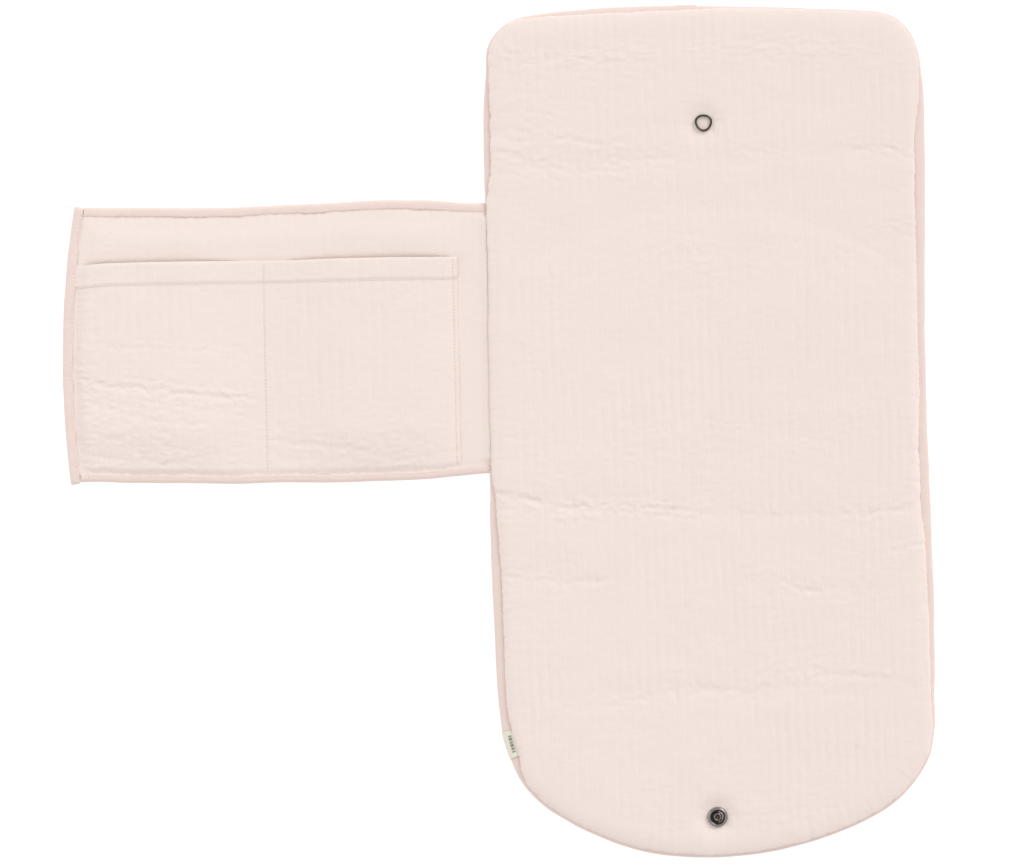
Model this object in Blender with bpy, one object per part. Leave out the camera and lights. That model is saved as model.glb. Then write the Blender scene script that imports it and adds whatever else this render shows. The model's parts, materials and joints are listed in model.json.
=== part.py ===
"""Fold-up changing mat with a pocket flap, closed by one ring snap.

The mat is a row of padded segments: head panel, head spine, middle panel, foot spine and foot panel. The
flap hangs on the middle panel's left edge by a spine of its own. To pack the mat, the flap folds over the
middle panel, the head panel folds down over the flap, and the foot panel folds up over both. Every fold is
a spine between two fold lines, as wide as the layers that it has to wrap round.

Units are metres. +Y points to the head end, +Z is up, and the flap lies towards -X. The origin is the middle
of the middle panel's underside.
"""

import math
from collections import namedtuple

import bmesh
import bpy
from mathutils import Matrix, Vector

MM = 0.001

# Driving dimensions
MAT_WIDTH = 362 * MM
MAT_THICKNESS = 12 * MM
MIDDLE_LENGTH = 261.6 * MM
HEAD_LENGTH = 116 * MM
FOOT_LENGTH = 275.8 * MM
FLAP_HEIGHT = 228 * MM  # along the mat
FLAP_REACH = 351 * MM  # from the mat's edge to the far end of the flap
FLAP_SPINE = 19.5 * MM
FLAP_SHIFT = -6.2 * MM  # middle of the flap, along Y
SNAP_FROM_FOLD = 19.2 * MM  # stud, from the head panel's fold line
CLEARANCE = 0.4 * MM  # between the layers of the folded mat
GAP = 0.3 * MM  # between pieces that touch

# Outlines
HEAD_CORNER = 42 * MM
HEAD_SWEEP = 1270 * MM  # radius of the head end's gentle arch
FOOT_CORNER = 95 * MM
FOOT_SWEEP = 268 * MM
FLAP_CORNER = 3 * MM
FLAP_SWEEP = 591 * MM  # radius of the flap's bowed end
EAR = 1.5 * MM  # the end binding's folded ends stand proud of the flap's corners

# Sections of the mat's layers: (inset from the outer edge, height) in millimetres
MAT_TOP_OUTSIDE = [(1.2, 3.6), (1.2, 4.4), (9.4, 4.4), (9.8, 7.5), (12, 10.6), (18, MAT_THICKNESS / MM)]
MAT_TOP_INSIDE = [(10.2, 3.6), (10.6, 7.2), (12.6, 9.9), (18.2, 11.2)]
MAT_BACK_OUTSIDE = [(1.2, 3), (1.2, 2.2), (9.4, 2.2), (11, 0.6), (15, 0)]
MAT_BACK_INSIDE = [(10.2, 3), (11.8, 1.3), (15.2, 0.8)]
MAT_WADDING = [(16, 1.1), (12.4, 1.6), (10.6, 3.3), (11, 7), (13, 9.6), (18.4, 10.9)]
MAT_BINDING = [
    (0, 1.4), (0.5, 1), (9, 1), (9, 1.9), (0.9, 1.9), (0.9, 4.7), (9, 4.7), (9, 5.6), (0.5, 5.6), (0, 5.2),
]

# The same for the flap, whose binding also holds the edges of the pocket panel
FLAP_FRONT_OUTSIDE = [(1.1, 2.2), (1.1, 2.9), (13, 2.9), (18, 4.7)]
FLAP_FRONT_INSIDE = [(13.4, 2.2), (18.4, 4)]
FLAP_BACK_OUTSIDE = [(1.1, 1.9), (1.1, 1.2), (9, 1.2), (13, 0.1)]
FLAP_BACK_INSIDE = [(10, 1.9), (13.2, 0.8)]
FLAP_WADDING = [(14.6, 1.1), (13.8, 2), (18.6, 3.7)]
FLAP_BINDING = [
    (0, 0.4), (0.4, 0.1), (8.5, 0.1), (8.5, 0.8), (0.8, 0.8), (0.8, 4.4), (8.5, 4.4), (8.5, 5.1), (0.4, 5.1),
    (0, 4.7),
]
FLAP_BINDING_WIDTH = 8.5 * MM
FLAP_LOWEST = 0.1 * MM
FLAP_FOLD_HEIGHT = 5.4 * MM

# Loop label, folded round the binding
LABEL_SECTION = [
    (-1, 0.1), (9.1, 0.1), (9.1, 0.7), (-0.4, 0.7), (-0.4, 5.9), (9.1, 5.9), (9.1, 6.5), (-1, 6.5),
]
LABEL_LENGTH = 25 * MM
LABEL_STEPS = 4
LABEL_FROM_FOLD = 182 * MM

# Pocket panel, laid on the flap's front
POCKET_SEAM = 26 * MM  # side seam, from the mat's edge
POCKET_DIVIDER = 184.6 * MM  # from the mat's edge
POCKET_BELOW_TOP = 45 * MM  # mouth, below the flap's top edge
POCKET_HEM = 19 * MM
POCKET_BULGE = 10 * MM
POCKET_CLOTH = 0.8 * MM
POCKET_HEM_CLOTH = 1.8 * MM  # the hem is turned over, so it has two layers
POCKET_IN_BINDING = 3.2 * MM  # height of the panel's underside inside the binding
POCKET_ON_FLAP = 5.0 * MM  # and where it is sewn to the flap's front
POCKET_SLOT = (1.2 * MM, 9.3 * MM)  # inset of the edge that the binding holds, and where it comes out
POCKET_CLEAR = 16 * MM  # inset past which it lies on the padded part of the flap
POCKET_CLEAR_SHARE = 0.3  # share of the bulge there
POCKET_FULL = 45 * MM  # inset from the flap's bottom edge past which the bulge is full
POCKET_FOOT = ((16 * MM, 0.45), (28 * MM, 0.85))  # below that: (inset, share of the bulge)
POCKET_ROWS = 4
# Across each pocket: (share of the width, share of the bulge)
POCKET_HUMP = ((0.1, 0.6), (0.22, 0.95), (0.5, 1), (0.78, 0.95), (0.9, 0.6))
SEAM_HALF = 1.5 * MM

# Snap
SNAP_RING_RADIUS = 6.1 * MM  # prong ring, to the middle of its wire
SNAP_WIRE_RADIUS = 0.95 * MM
SNAP_STEPS = 28
STUD_PROFILE = [  # (radius, height) in millimetres
    (0, 3.7), (6.6, 3.7), (6.8, 3.3), (6.6, 2.9), (4.2, 2.6), (3.6, 2.2), (3.6, 1.7), (4.2, 1.1), (3.6, 0.6),
    (0, 0.4),
]
SOCKET_PROFILE = [
    (0, 7.3), (7.4, 7.3), (8.2, 8), (8.2, 10.4), (7.6, 11.2), (6.6, 11.3), (5.9, 10.8), (5.6, 8.6),
    (1.8, 8.3), (0.9, 8.9), (0, 9),
]

# Dimples that the snaps pull into the padding
DIMPLE_RADIUS = 9.5 * MM
DIMPLE_SLOPE = 1.5  # growth of the radius for each unit of height
DIMPLE_SIDES = 24
TOP_DIMPLE_FLOOR = 7 * MM
BACK_DIMPLE_FLOOR = 4 * MM
CLOTH = 0.8 * MM
SHARPEST = 1 * MM  # radius left on a corner that is drawn in past its own radius
CORNER_STEPS = 6
ARC_STEPS = 7
EARED_STEPS = 6  # in each half of the flap's end binding
SMOOTH_BELOW = math.radians(35)  # edges flatter than this are shaded smooth

MAT_SECTIONS = (MAT_TOP_OUTSIDE, MAT_TOP_INSIDE, MAT_BACK_OUTSIDE, MAT_BACK_INSIDE, MAT_WADDING)
FLAP_SECTIONS = (FLAP_FRONT_OUTSIDE, FLAP_FRONT_INSIDE, FLAP_BACK_OUTSIDE, FLAP_BACK_INSIDE, FLAP_WADDING)
MAT_COVERS = ("top_cover", "back_cover")
FLAP_COVERS = ("front_cover", "back_cover")
STRIP_FOLDS = [(1, 2), (3, 0)]  # the corners of a strip's edge that its two fold lines join

# Worked out from the above
HALF_WIDTH = MAT_WIDTH / 2
HALF_FLAP = FLAP_HEIGHT / 2
FLAP_FOLDED_TOP = 2 * FLAP_FOLD_HEIGHT + FLAP_SPINE - FLAP_LOWEST
HEAD_SPINE = FLAP_FOLDED_TOP + CLEARANCE - MAT_THICKNESS
FOOT_SPINE = HEAD_SPINE + MAT_THICKNESS + CLEARANCE
FLAP_LENGTH = FLAP_REACH - FLAP_SPINE
SOCKET_FROM_FOLD = MIDDLE_LENGTH - SNAP_FROM_FOLD

# name: (linear colour, metallic, roughness)
MATERIALS = {
    "quilted_cotton": ((0.887, 0.768, 0.716), 0.0, 0.9),
    "binding_tape": ((0.847, 0.694, 0.645), 0.0, 0.85),
    "coated_lining": ((0.83, 0.74, 0.69), 0.0, 0.45),
    "wadding": ((0.9, 0.9, 0.9), 0.0, 1.0),
    "gunmetal": ((0.09, 0.09, 0.095), 1.0, 0.3),
    "label_tape": ((0.8, 0.76, 0.66), 0.0, 0.8),
}

Body = namedtuple("Body", "empty height")


def clear_scene():
    for obj in list(bpy.data.objects):
        bpy.data.objects.remove(obj, do_unlink=True)


def make_materials():
    made = {}
    for name, (colour, metallic, roughness) in MATERIALS.items():
        material = bpy.data.materials.new(name)
        material.use_nodes = True
        shader = material.node_tree.nodes["Principled BSDF"]
        shader.inputs["Base Color"].default_value = (*colour, 1)
        shader.inputs["Metallic"].default_value = metallic
        shader.inputs["Roughness"].default_value = roughness
        made[name] = material
    return made


def add_body(name, parent, place, turn=0.0):
    """An empty on the body's fold line. Its local X runs along the fold and its local Y away from it."""
    empty = bpy.data.objects.new(name, None)
    bpy.context.collection.objects.link(empty)
    height = place[2]
    location = Vector(place)
    if parent:
        empty.parent = parent.empty
        location.z -= parent.height
    empty.location = location
    empty.rotation_euler.z = turn
    return Body(empty, height)


def add_object(name, bm, body, material=None):
    """A mesh in the body's local frame, with its heights measured from the floor."""
    bmesh.ops.recalc_face_normals(bm, faces=bm.faces)
    if bm.calc_volume(signed=True) < 0:
        bmesh.ops.reverse_faces(bm, faces=bm.faces)
    mesh = bpy.data.meshes.new(name)
    bm.to_mesh(mesh)
    bm.free()
    if material:
        mesh.materials.append(material)
    obj = bpy.data.objects.new(name, mesh)
    bpy.context.collection.objects.link(obj)
    obj.parent = body.empty
    obj.location.z = -body.height
    return obj


def shade_round(obj):
    obj.data.shade_smooth()
    obj.data.set_sharp_from_angle(angle=SMOOTH_BELOW)


def combine(obj, other, operation):
    other.hide_render = True
    other.display_type = "WIRE"
    modifier = obj.modifiers.new(other.name, "BOOLEAN")
    modifier.operation = operation
    modifier.solver = "EXACT"
    modifier.object = other


def cut(obj, cutter):
    combine(obj, cutter, "DIFFERENCE")


# An edge is a function: for an inset, it gives the points of the outline drawn in by that much, in a body's
# local frame, from the left end of its fold line round to the right end.


def wall_edge(side, half_width, low, high):
    """One straight side of a strip, running away from the fold."""
    return lambda inset: [(side * (half_width - inset), along) for along in (low, high)]


def strip_edge(half_width, low, high):
    left, right = (wall_edge(side, half_width, low, high) for side in (-1, 1))
    return lambda inset: left(inset) + right(inset)[::-1]


def end_corner(half_width, length, corner, sweep):
    """Centre of an end's rounded corner, and the angle at which it meets the end's wide arc."""
    across = half_width - corner
    rise = math.sqrt((sweep - corner) ** 2 - across**2)
    return Vector((across, length - sweep + rise)), math.atan2(rise, across)


def arc_points(centre, radius, start, end, steps):
    angles = [start + (end - start) * step / steps for step in range(steps + 1)]
    return [(centre[0] + radius * math.cos(a), centre[1] + radius * math.sin(a)) for a in angles]


def end_edge(half_width, length, corner, sweep, low, corner_steps=CORNER_STEPS, arc_steps=ARC_STEPS):
    """Edge of a panel: straight sides, rounded corners and one wide arc across its free end."""

    def edge(inset):
        radius = max(corner - inset, SHARPEST)
        sizes = (half_width - inset, length - inset, radius, sweep - inset)
        centre, meet = end_corner(*sizes)
        right = [(half_width - inset, low)]
        right += arc_points(centre, radius, 0, meet, corner_steps)
        right += arc_points((0, length - sweep), sweep - inset, meet, math.pi / 2, arc_steps)[1:]
        return [(-x, y) for x, y in right[:-1]] + right[::-1]

    return edge


def rings_of(bm, edge, section):
    return [[bm.verts.new((*point, height * MM)) for point in edge(inset * MM)] for inset, height in section]


def loft(edge, rings):
    """A closed solid: the edge's outline, drawn in by each ring's inset at that ring's height."""
    bm = bmesh.new()
    loops = rings_of(bm, edge, rings)
    for lower, upper in zip(loops, loops[1:]):
        for i in range(len(lower)):
            j = (i + 1) % len(lower)
            bm.faces.new((lower[i], lower[j], upper[j], upper[i]))
    bm.faces.new(loops[0])
    bm.faces.new(loops[-1])
    return bm


def shell(edge, outside, inside, folds):
    """A cover: the space between two lofts, open where the inside starts and along each fold line.

    Each fold is a pair of indices into the edge's points, the two ends of that fold line.
    """
    bm = bmesh.new()
    outer, inner = rings_of(bm, edge, outside), rings_of(bm, edge, inside)
    count = len(outer[0])
    sides = [(i, (i + 1) % count) for i in range(count)]
    for i, j in (side for side in sides if side not in folds):
        for loops in (outer, inner):
            for lower, upper in zip(loops, loops[1:]):
                bm.faces.new((lower[i], lower[j], upper[j], upper[i]))
        bm.faces.new((outer[0][i], outer[0][j], inner[0][j], inner[0][i]))
    for i, j in folds:
        around = [ring[i] for ring in outer] + [ring[j] for ring in outer[::-1]]
        around += [ring[j] for ring in inner] + [ring[i] for ring in inner[::-1]]
        bm.faces.new(around)
    bm.faces.new(outer[-1])
    bm.faces.new(inner[-1])
    return bm


def band(edge, section):
    """A strip with one closed section, carried along an edge. Its two ends are flat."""
    bm = bmesh.new()
    loops = rings_of(bm, edge, section)
    for loop, following in zip(loops, loops[1:] + loops[:1]):
        for i in range(len(loop) - 1):
            bm.faces.new((loop[i], loop[i + 1], following[i + 1], following[i]))
    for end in (0, -1):
        bm.faces.new([loop[end] for loop in loops])
    return bm


def turned(profile, along):
    """A round solid about the snap's axis, from a closed profile or one that ends on the axis."""
    bm = bmesh.new()
    verts = [bm.verts.new((radius * MM, along, height * MM)) for radius, height in profile]
    edges = [bm.edges.new(pair) for pair in zip(verts, verts[1:])]
    if profile[0][0] > 0:
        edges.append(bm.edges.new((verts[-1], verts[0])))
    bmesh.ops.spin(
        bm, geom=verts + edges, cent=(0, along, 0), axis=(0, 0, 1), angle=2 * math.pi, steps=SNAP_STEPS
    )
    bmesh.ops.remove_doubles(bm, verts=bm.verts, dist=1e-6)
    return bm


def wire_section(height, sides=8):
    """Section of the prong ring's wire: (radius from the snap's axis, height) in millimetres."""
    turns = [2 * math.pi * (side + 0.5) / sides for side in range(sides)]
    middle, radius = SNAP_RING_RADIUS / MM, SNAP_WIRE_RADIUS / MM
    return [(middle + radius * math.cos(t), height / MM + radius * math.sin(t)) for t in turns]


def add_dimple(name, body, along, floor, rise, grow, surface=None):
    """A cone that opens upwards (rise 1) or downwards (rise -1) from its floor, made larger by grow.

    It ends at the height of a surface, or well past the mat.
    """
    start = floor - rise * grow
    depth = MAT_THICKNESS if surface is None else rise * (surface - start)
    radius = DIMPLE_RADIUS + grow
    wide = radius + DIMPLE_SLOPE * depth
    bm = bmesh.new()
    bmesh.ops.create_cone(
        bm,
        cap_ends=True,
        segments=DIMPLE_SIDES,
        radius1=radius if rise > 0 else wide,
        radius2=wide if rise > 0 else radius,
        depth=depth,
        matrix=Matrix.Translation((0, along, start + rise * depth / 2)),
    )
    return add_object(name, bm, body)


def press(cover, body, along, floor, rise):
    """Press a dimple into a cover: join a solid cone to it, then hollow the cone."""
    middle_of_cloth = MAT_THICKNESS - CLOTH / 2 if rise > 0 else CLOTH / 2
    cone = add_dimple(f"{cover.name}_dimple_outside", body, along, floor, rise, CLOTH, middle_of_cloth)
    combine(cover, cone, "UNION")
    cut(cover, add_dimple(f"{cover.name}_dimple_inside", body, along, floor, rise, 0))


def add_layers(prefix, body, edge, folds, sections, names, materials):
    """The top cover, back cover and wadding of one segment."""
    top_outside, top_inside, back_outside, back_inside, wadding = sections
    layers = (
        (names[0], shell(edge, top_outside, top_inside, folds), "quilted_cotton"),
        (names[1], shell(edge, back_outside, back_inside, folds), "coated_lining"),
        ("wadding", loft(edge, wadding), "wadding"),
    )
    return [add_object(f"{prefix}_{name}", bm, body, materials[slot]) for name, bm, slot in layers]


def add_side_bindings(prefix, body, half_width, low, high, section, sides, material):
    for name, side in sides:
        edge = wall_edge(side, half_width, low, high)
        add_object(f"{prefix}_binding_{name}", band(edge, section), body, material)


def add_mat_segment(prefix, body, low, high, materials, sides):
    edge = strip_edge(HALF_WIDTH, low, high)
    add_layers(prefix, body, edge, STRIP_FOLDS, MAT_SECTIONS, MAT_COVERS, materials)
    add_side_bindings(prefix, body, HALF_WIDTH, low, high, MAT_BINDING, sides, materials["binding_tape"])


def add_mat_end(prefix, body, length, corner, sweep, materials, snap_along):
    """A panel with a rounded free end. Its snap pulls a dimple into both covers."""
    edge = end_edge(HALF_WIDTH, length, corner, sweep, GAP / 2)
    last = len(edge(0)) - 1
    top, back, wadding = add_layers(prefix, body, edge, [(last, 0)], MAT_SECTIONS, MAT_COVERS, materials)
    for cover, floor, rise in ((top, TOP_DIMPLE_FLOOR, 1), (back, BACK_DIMPLE_FLOOR, -1)):
        press(cover, body, snap_along, floor, rise)
        cut(wadding, add_dimple(f"{cover.name}_room", body, snap_along, floor, rise, CLOTH + GAP))
    add_object(f"{prefix}_binding", band(edge, MAT_BINDING), body, materials["binding_tape"])


def add_snap_ring(name, body, along, height, material):
    """A prong ring: a bent wire ring whose prongs are clenched through the layers."""
    shade_round(add_object(name, turned(wire_section(height), along), body, material))


def add_snaps(head, foot, material):
    """Stud on the head panel's back, socket on the foot panel's top, and a prong ring behind each."""
    top = TOP_DIMPLE_FLOOR + GAP + SNAP_WIRE_RADIUS
    back = BACK_DIMPLE_FLOOR - GAP - SNAP_WIRE_RADIUS
    add_snap_ring("snap_stud_ring", head, SNAP_FROM_FOLD, top, material)
    add_snap_ring("snap_socket_ring", foot, SOCKET_FROM_FOLD, back, material)
    shade_round(add_object("snap_stud", turned(STUD_PROFILE, SNAP_FROM_FOLD), head, material))
    shade_round(add_object("snap_socket", turned(SOCKET_PROFILE, SOCKET_FROM_FOLD), foot, material))


def add_label(foot, material):
    """A loop label folded over the edge of the foot panel, on its rounded corner."""
    centre, _ = end_corner(HALF_WIDTH, FOOT_LENGTH, FOOT_CORNER, FOOT_SWEEP)
    middle = math.asin((LABEL_FROM_FOLD - centre.y) / FOOT_CORNER)
    half = LABEL_LENGTH / FOOT_CORNER / 2

    def edge(inset):
        return arc_points(centre, FOOT_CORNER - inset, middle - half, middle + half, LABEL_STEPS)

    add_object("label", band(edge, LABEL_SECTION), foot, material)


def flap_end(across, inset=0.0):
    """How far from the fold the flap's bowed end lies, at a distance across from its middle."""
    return FLAP_LENGTH - FLAP_SWEEP + math.sqrt((FLAP_SWEEP - inset) ** 2 - across**2)


def pocket_rows():
    """The pocket panel from its bottom edge to its mouth: (across, share of the bulge, thickness)."""
    mouth = HALF_FLAP - POCKET_BELOW_TOP
    hem = mouth - POCKET_HEM
    rows = [(-HALF_FLAP + POCKET_SLOT[0], 0), (-HALF_FLAP + POCKET_SLOT[1], 0)]
    rows += [(-HALF_FLAP + inset, share) for inset, share in POCKET_FOOT]
    full = -HALF_FLAP + POCKET_FULL
    rows += [(full + (hem - GAP - full) * step / POCKET_ROWS, 1) for step in range(POCKET_ROWS + 1)]
    rows = [(across, share, POCKET_CLOTH) for across, share in rows]
    return rows + [(hem, 1, POCKET_HEM_CLOTH), (mouth, 1, POCKET_HEM_CLOTH)]


def pocket_columns(across):
    """The panel from its side seam to the flap's end: (distance from the fold, share of the bulge)."""
    seam = POCKET_SEAM - FLAP_SPINE
    divider = POCKET_DIVIDER - FLAP_SPINE
    out_of_binding = flap_end(across) - POCKET_SLOT[1]
    columns = [(seam - SEAM_HALF, 0)]
    for low, high in ((seam + SEAM_HALF, divider - SEAM_HALF), (divider + SEAM_HALF, out_of_binding)):
        columns.append((low, 0))
        columns += [(low + (high - low) * part, share) for part, share in POCKET_HUMP]
        columns.append((high, 0))
    columns.insert(-1, (flap_end(across) - POCKET_CLEAR, POCKET_CLEAR_SHARE))
    columns.append((flap_end(across) - POCKET_SLOT[0], 0))
    return columns


def pocket_base(across, along):
    """Height of the panel's underside where it doesn't bulge."""
    inset = min(across + HALF_FLAP, flap_end(across) - along)
    share = (inset - POCKET_SLOT[1]) / (POCKET_CLEAR - POCKET_SLOT[1])
    share = min(max(share, 0), 1)
    return POCKET_IN_BINDING + share * (POCKET_ON_FLAP - POCKET_IN_BINDING)


def add_pocket(flap, material):
    """One panel that makes both pockets. It stands off the flap between its seams and is open at the top."""
    bm = bmesh.new()
    under, over = [], []
    for across, row_share, thickness in pocket_rows():
        lower, upper = [], []
        for along, column_share in pocket_columns(across):
            base = pocket_base(across, along)
            height = base + POCKET_BULGE * row_share * column_share
            cloth = thickness if base > POCKET_IN_BINDING else POCKET_CLOTH
            lower.append(bm.verts.new((across, along, height)))
            upper.append(bm.verts.new((across, along, height + cloth)))
        under.append(lower)
        over.append(upper)
    rows, columns = len(under), len(under[0])
    for grid in (under, over):
        for i in range(rows - 1):
            for j in range(columns - 1):
                bm.faces.new((grid[i][j], grid[i][j + 1], grid[i + 1][j + 1], grid[i + 1][j]))
    rim = [(0, j) for j in range(columns)] + [(i, columns - 1) for i in range(1, rows)]
    rim += [(rows - 1, j) for j in range(columns - 2, -1, -1)] + [(i, 0) for i in range(rows - 2, 0, -1)]
    for (i, j), (k, m) in zip(rim, rim[1:] + rim[:1]):
        bm.faces.new((under[i][j], under[k][m], over[k][m], over[i][j]))
    add_object("pocket_panel", bm, flap, material)


def add_flap(spine, flap, materials):
    tape = materials["binding_tape"]
    sides = (("top", 1), ("bottom", -1))
    low, high = GAP / 2, FLAP_SPINE - GAP / 2
    edge = strip_edge(HALF_FLAP, low, high)
    add_layers("flap_spine", spine, edge, STRIP_FOLDS, FLAP_SECTIONS, FLAP_COVERS, materials)
    add_side_bindings("flap_spine", spine, HALF_FLAP, low, high, FLAP_BINDING, sides, tape)

    def eared_end(inset):
        steps = range(-EARED_STEPS, EARED_STEPS + 1)
        across = [(HALF_FLAP + EAR) * step / EARED_STEPS for step in steps]
        return [(x, flap_end(x, inset)) for x in across]

    edge = end_edge(HALF_FLAP, FLAP_LENGTH, FLAP_CORNER, FLAP_SWEEP, low, corner_steps=1)
    last = len(edge(0)) - 1
    add_layers("flap", flap, edge, [(last, 0)], FLAP_SECTIONS, FLAP_COVERS, materials)
    side_end = flap_end(HALF_FLAP, FLAP_BINDING_WIDTH) - 2 * GAP
    add_side_bindings("flap", flap, HALF_FLAP, low, side_end, FLAP_BINDING, sides, tape)
    add_object("flap_binding_end", band(eared_end, FLAP_BINDING), flap, tape)


def main():
    clear_scene()
    materials = make_materials()
    half_middle = MIDDLE_LENGTH / 2
    both = (("left", -1), ("right", 1))
    swapped = (("right", -1), ("left", 1))  # the foot's local X points the other way

    middle = add_body("middle_panel_body", None, (0, 0, 0))
    head_spine = add_body("head_spine_body", middle, (0, half_middle, MAT_THICKNESS))
    head = add_body("head_panel_body", head_spine, (0, HEAD_SPINE, MAT_THICKNESS))
    foot_spine = add_body("foot_spine_body", middle, (0, -half_middle, MAT_THICKNESS), math.pi)
    foot = add_body("foot_panel_body", foot_spine, (0, FOOT_SPINE, MAT_THICKNESS))
    flap_place = (-HALF_WIDTH - GAP / 2, FLAP_SHIFT, FLAP_FOLD_HEIGHT)
    flap_spine = add_body("flap_spine_body", middle, flap_place, math.pi / 2)
    flap = add_body("pocket_flap_body", flap_spine, (0, FLAP_SPINE, FLAP_FOLD_HEIGHT))

    add_mat_segment("middle", middle, -half_middle + GAP / 2, half_middle - GAP / 2, materials, both)
    add_mat_segment("head_spine", head_spine, GAP / 2, HEAD_SPINE - GAP / 2, materials, both)
    add_mat_segment("foot_spine", foot_spine, GAP / 2, FOOT_SPINE - GAP / 2, materials, swapped)
    add_mat_end("head", head, HEAD_LENGTH, HEAD_CORNER, HEAD_SWEEP, materials, SNAP_FROM_FOLD)
    add_mat_end("foot", foot, FOOT_LENGTH, FOOT_CORNER, FOOT_SWEEP, materials, SOCKET_FROM_FOLD)
    add_snaps(head, foot, materials["gunmetal"])
    add_label(foot, materials["label_tape"])
    add_flap(flap_spine, flap, materials)
    add_pocket(flap, materials["quilted_cotton"])


main()
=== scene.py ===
"""Looks of the fold-up changing mat with a pocket flap.

The mat is crinkled cotton over wadding, bound with bias tape all round. Covers, wadding and tape are made of
four lengths each, cut at the middle of the two fold spines and at the middle of the mat, so that every length
crosses one fold line only. The flap has a short root at its own spine and one long part. Relief such as
ribs, crinkles, creases, puckers and dimples is in the meshes. Places are in metres, in the frame of the CAD
model; tables of places are in millimetres.
"""
import json
import math

import bpy
import numpy as np
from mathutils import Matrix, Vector


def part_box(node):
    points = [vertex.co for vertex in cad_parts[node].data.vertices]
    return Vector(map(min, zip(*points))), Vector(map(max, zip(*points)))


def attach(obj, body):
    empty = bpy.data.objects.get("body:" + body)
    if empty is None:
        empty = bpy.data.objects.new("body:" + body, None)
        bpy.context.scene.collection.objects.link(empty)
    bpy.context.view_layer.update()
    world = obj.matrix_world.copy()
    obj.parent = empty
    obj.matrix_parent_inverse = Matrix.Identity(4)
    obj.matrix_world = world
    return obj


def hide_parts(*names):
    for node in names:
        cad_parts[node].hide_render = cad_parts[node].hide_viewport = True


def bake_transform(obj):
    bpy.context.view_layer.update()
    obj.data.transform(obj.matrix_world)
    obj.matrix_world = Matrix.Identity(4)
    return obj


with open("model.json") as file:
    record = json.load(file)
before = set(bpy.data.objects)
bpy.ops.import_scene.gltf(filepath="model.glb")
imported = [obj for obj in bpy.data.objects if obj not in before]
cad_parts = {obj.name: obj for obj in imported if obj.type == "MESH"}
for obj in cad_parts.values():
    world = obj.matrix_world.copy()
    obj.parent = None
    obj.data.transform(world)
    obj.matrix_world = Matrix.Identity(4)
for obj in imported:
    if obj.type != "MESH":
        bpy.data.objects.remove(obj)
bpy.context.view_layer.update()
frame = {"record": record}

MM = 0.001

# ---------------------------------------------------------------- places taken from the frame
JOINTS = {joint["name"]: joint["pos_m"] for joint in frame["record"]["behaviour"]["joints"]}
HALF_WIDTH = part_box("middle_binding_right")[1].x
HEAD_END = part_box("head_binding")[1].y
FOOT_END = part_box("foot_binding")[0].y
FLAP_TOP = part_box("flap_binding_top")[1].y
FLAP_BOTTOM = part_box("flap_binding_bottom")[0].y
FLAP_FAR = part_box("flap_binding_end")[0].x
POCKET_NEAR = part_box("pocket_panel")[1].x
POCKET_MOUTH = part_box("pocket_panel")[1].y
STUD_AT = (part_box("snap_stud_ring")[0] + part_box("snap_stud_ring")[1]) / 2
SOCKET_AT = (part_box("snap_socket")[0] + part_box("snap_socket")[1]) / 2
LABEL_AT = (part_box("label")[0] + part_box("label")[1]) / 2

HEAD_CUT = (JOINTS["head_fold"][1] + JOINTS["head_fold_far"][1]) / 2
FOOT_CUT = (JOINTS["foot_fold"][1] + JOINTS["foot_fold_far"][1]) / 2
FLAP_ROOT = JOINTS["flap_fold"][0]
FLAP_CUT = (JOINTS["flap_fold"][0] + JOINTS["flap_fold_far"][0]) / 2
FLAP_MIDDLE = (FLAP_TOP + FLAP_BOTTOM) / 2
HALF_FLAP = (FLAP_TOP - FLAP_BOTTOM) / 2

# ---------------------------------------------------------------- the mat's outline and layers
HEAD_CORNER, HEAD_SWEEP = 42 * MM, 1270 * MM
FOOT_CORNER, FOOT_SWEEP = 95 * MM, 268 * MM
FLAP_SWEEP = 800 * MM
FLAP_BOW_AT = -30 * MM
FLAP_BOW_OUT = 1.2 * MM
OUTLINE_STEP = 0.5 * MM
TABLE_SMOOTHING = 7 * MM
CELL = 1.3 * MM
COLUMNS = 264
RIM = 30 * MM  # inset from which the cover's vertices follow the edge in rings
SHOULDER = 19 * MM  # inset at which the cover turns down to its seam
MAT_TOP = 11.9 * MM
MAT_SIDE = 7.4 * MM  # height at which the cover stands out furthest
MAT_EDGE_SAG = 1.3 * MM
SAG_REACH = 18 * MM
TURN = math.radians(110)
TURN_STEPS = 15

# Where the padded cover stands out over the tape: (place by the edge, inset of the cover's side)
COVER_REACH = (
    ((181, 0), 6.5), ((181, 70), 7.5), ((181, 101), 8.6), ((181, 158), 8), ((181, 185), 4),
    ((181, 216), 1.6), ((160, 260), 1.2), ((20, 265), 1.6), ((-6, 265), 3.2), ((-60, 264), 4.6),
    ((-118, 262), 3), ((-150, 255), 0.8), ((-181, 216), 1.2), ((-181, 190), 4.4), ((-181, 140), 5),
    ((-181, 118), 2.4), ((-181, 106), 0.4), ((-181, 0), 0.5), ((-181, -112), 0.9), ((-181, -135), 3.6),
    ((-181, -160), 5.4), ((-181, -200), 7.4), ((-181, -275), 7.2), ((-180, -311), 7), ((-176, -328), 9),
    ((-166, -352), 9), ((-158, -366), 3.6), ((-130, -395), 2.4), ((0, -437), 2.2), ((130, -395), 1.8),
    ((180, -335), 1.8), ((181, -311), 3), ((181, -229), 5), ((181, -185), 5.4), ((181, -165), 6.5),
    ((181, -150), 8), ((181, -97), 8), ((181, -64), 6),
)
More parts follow.
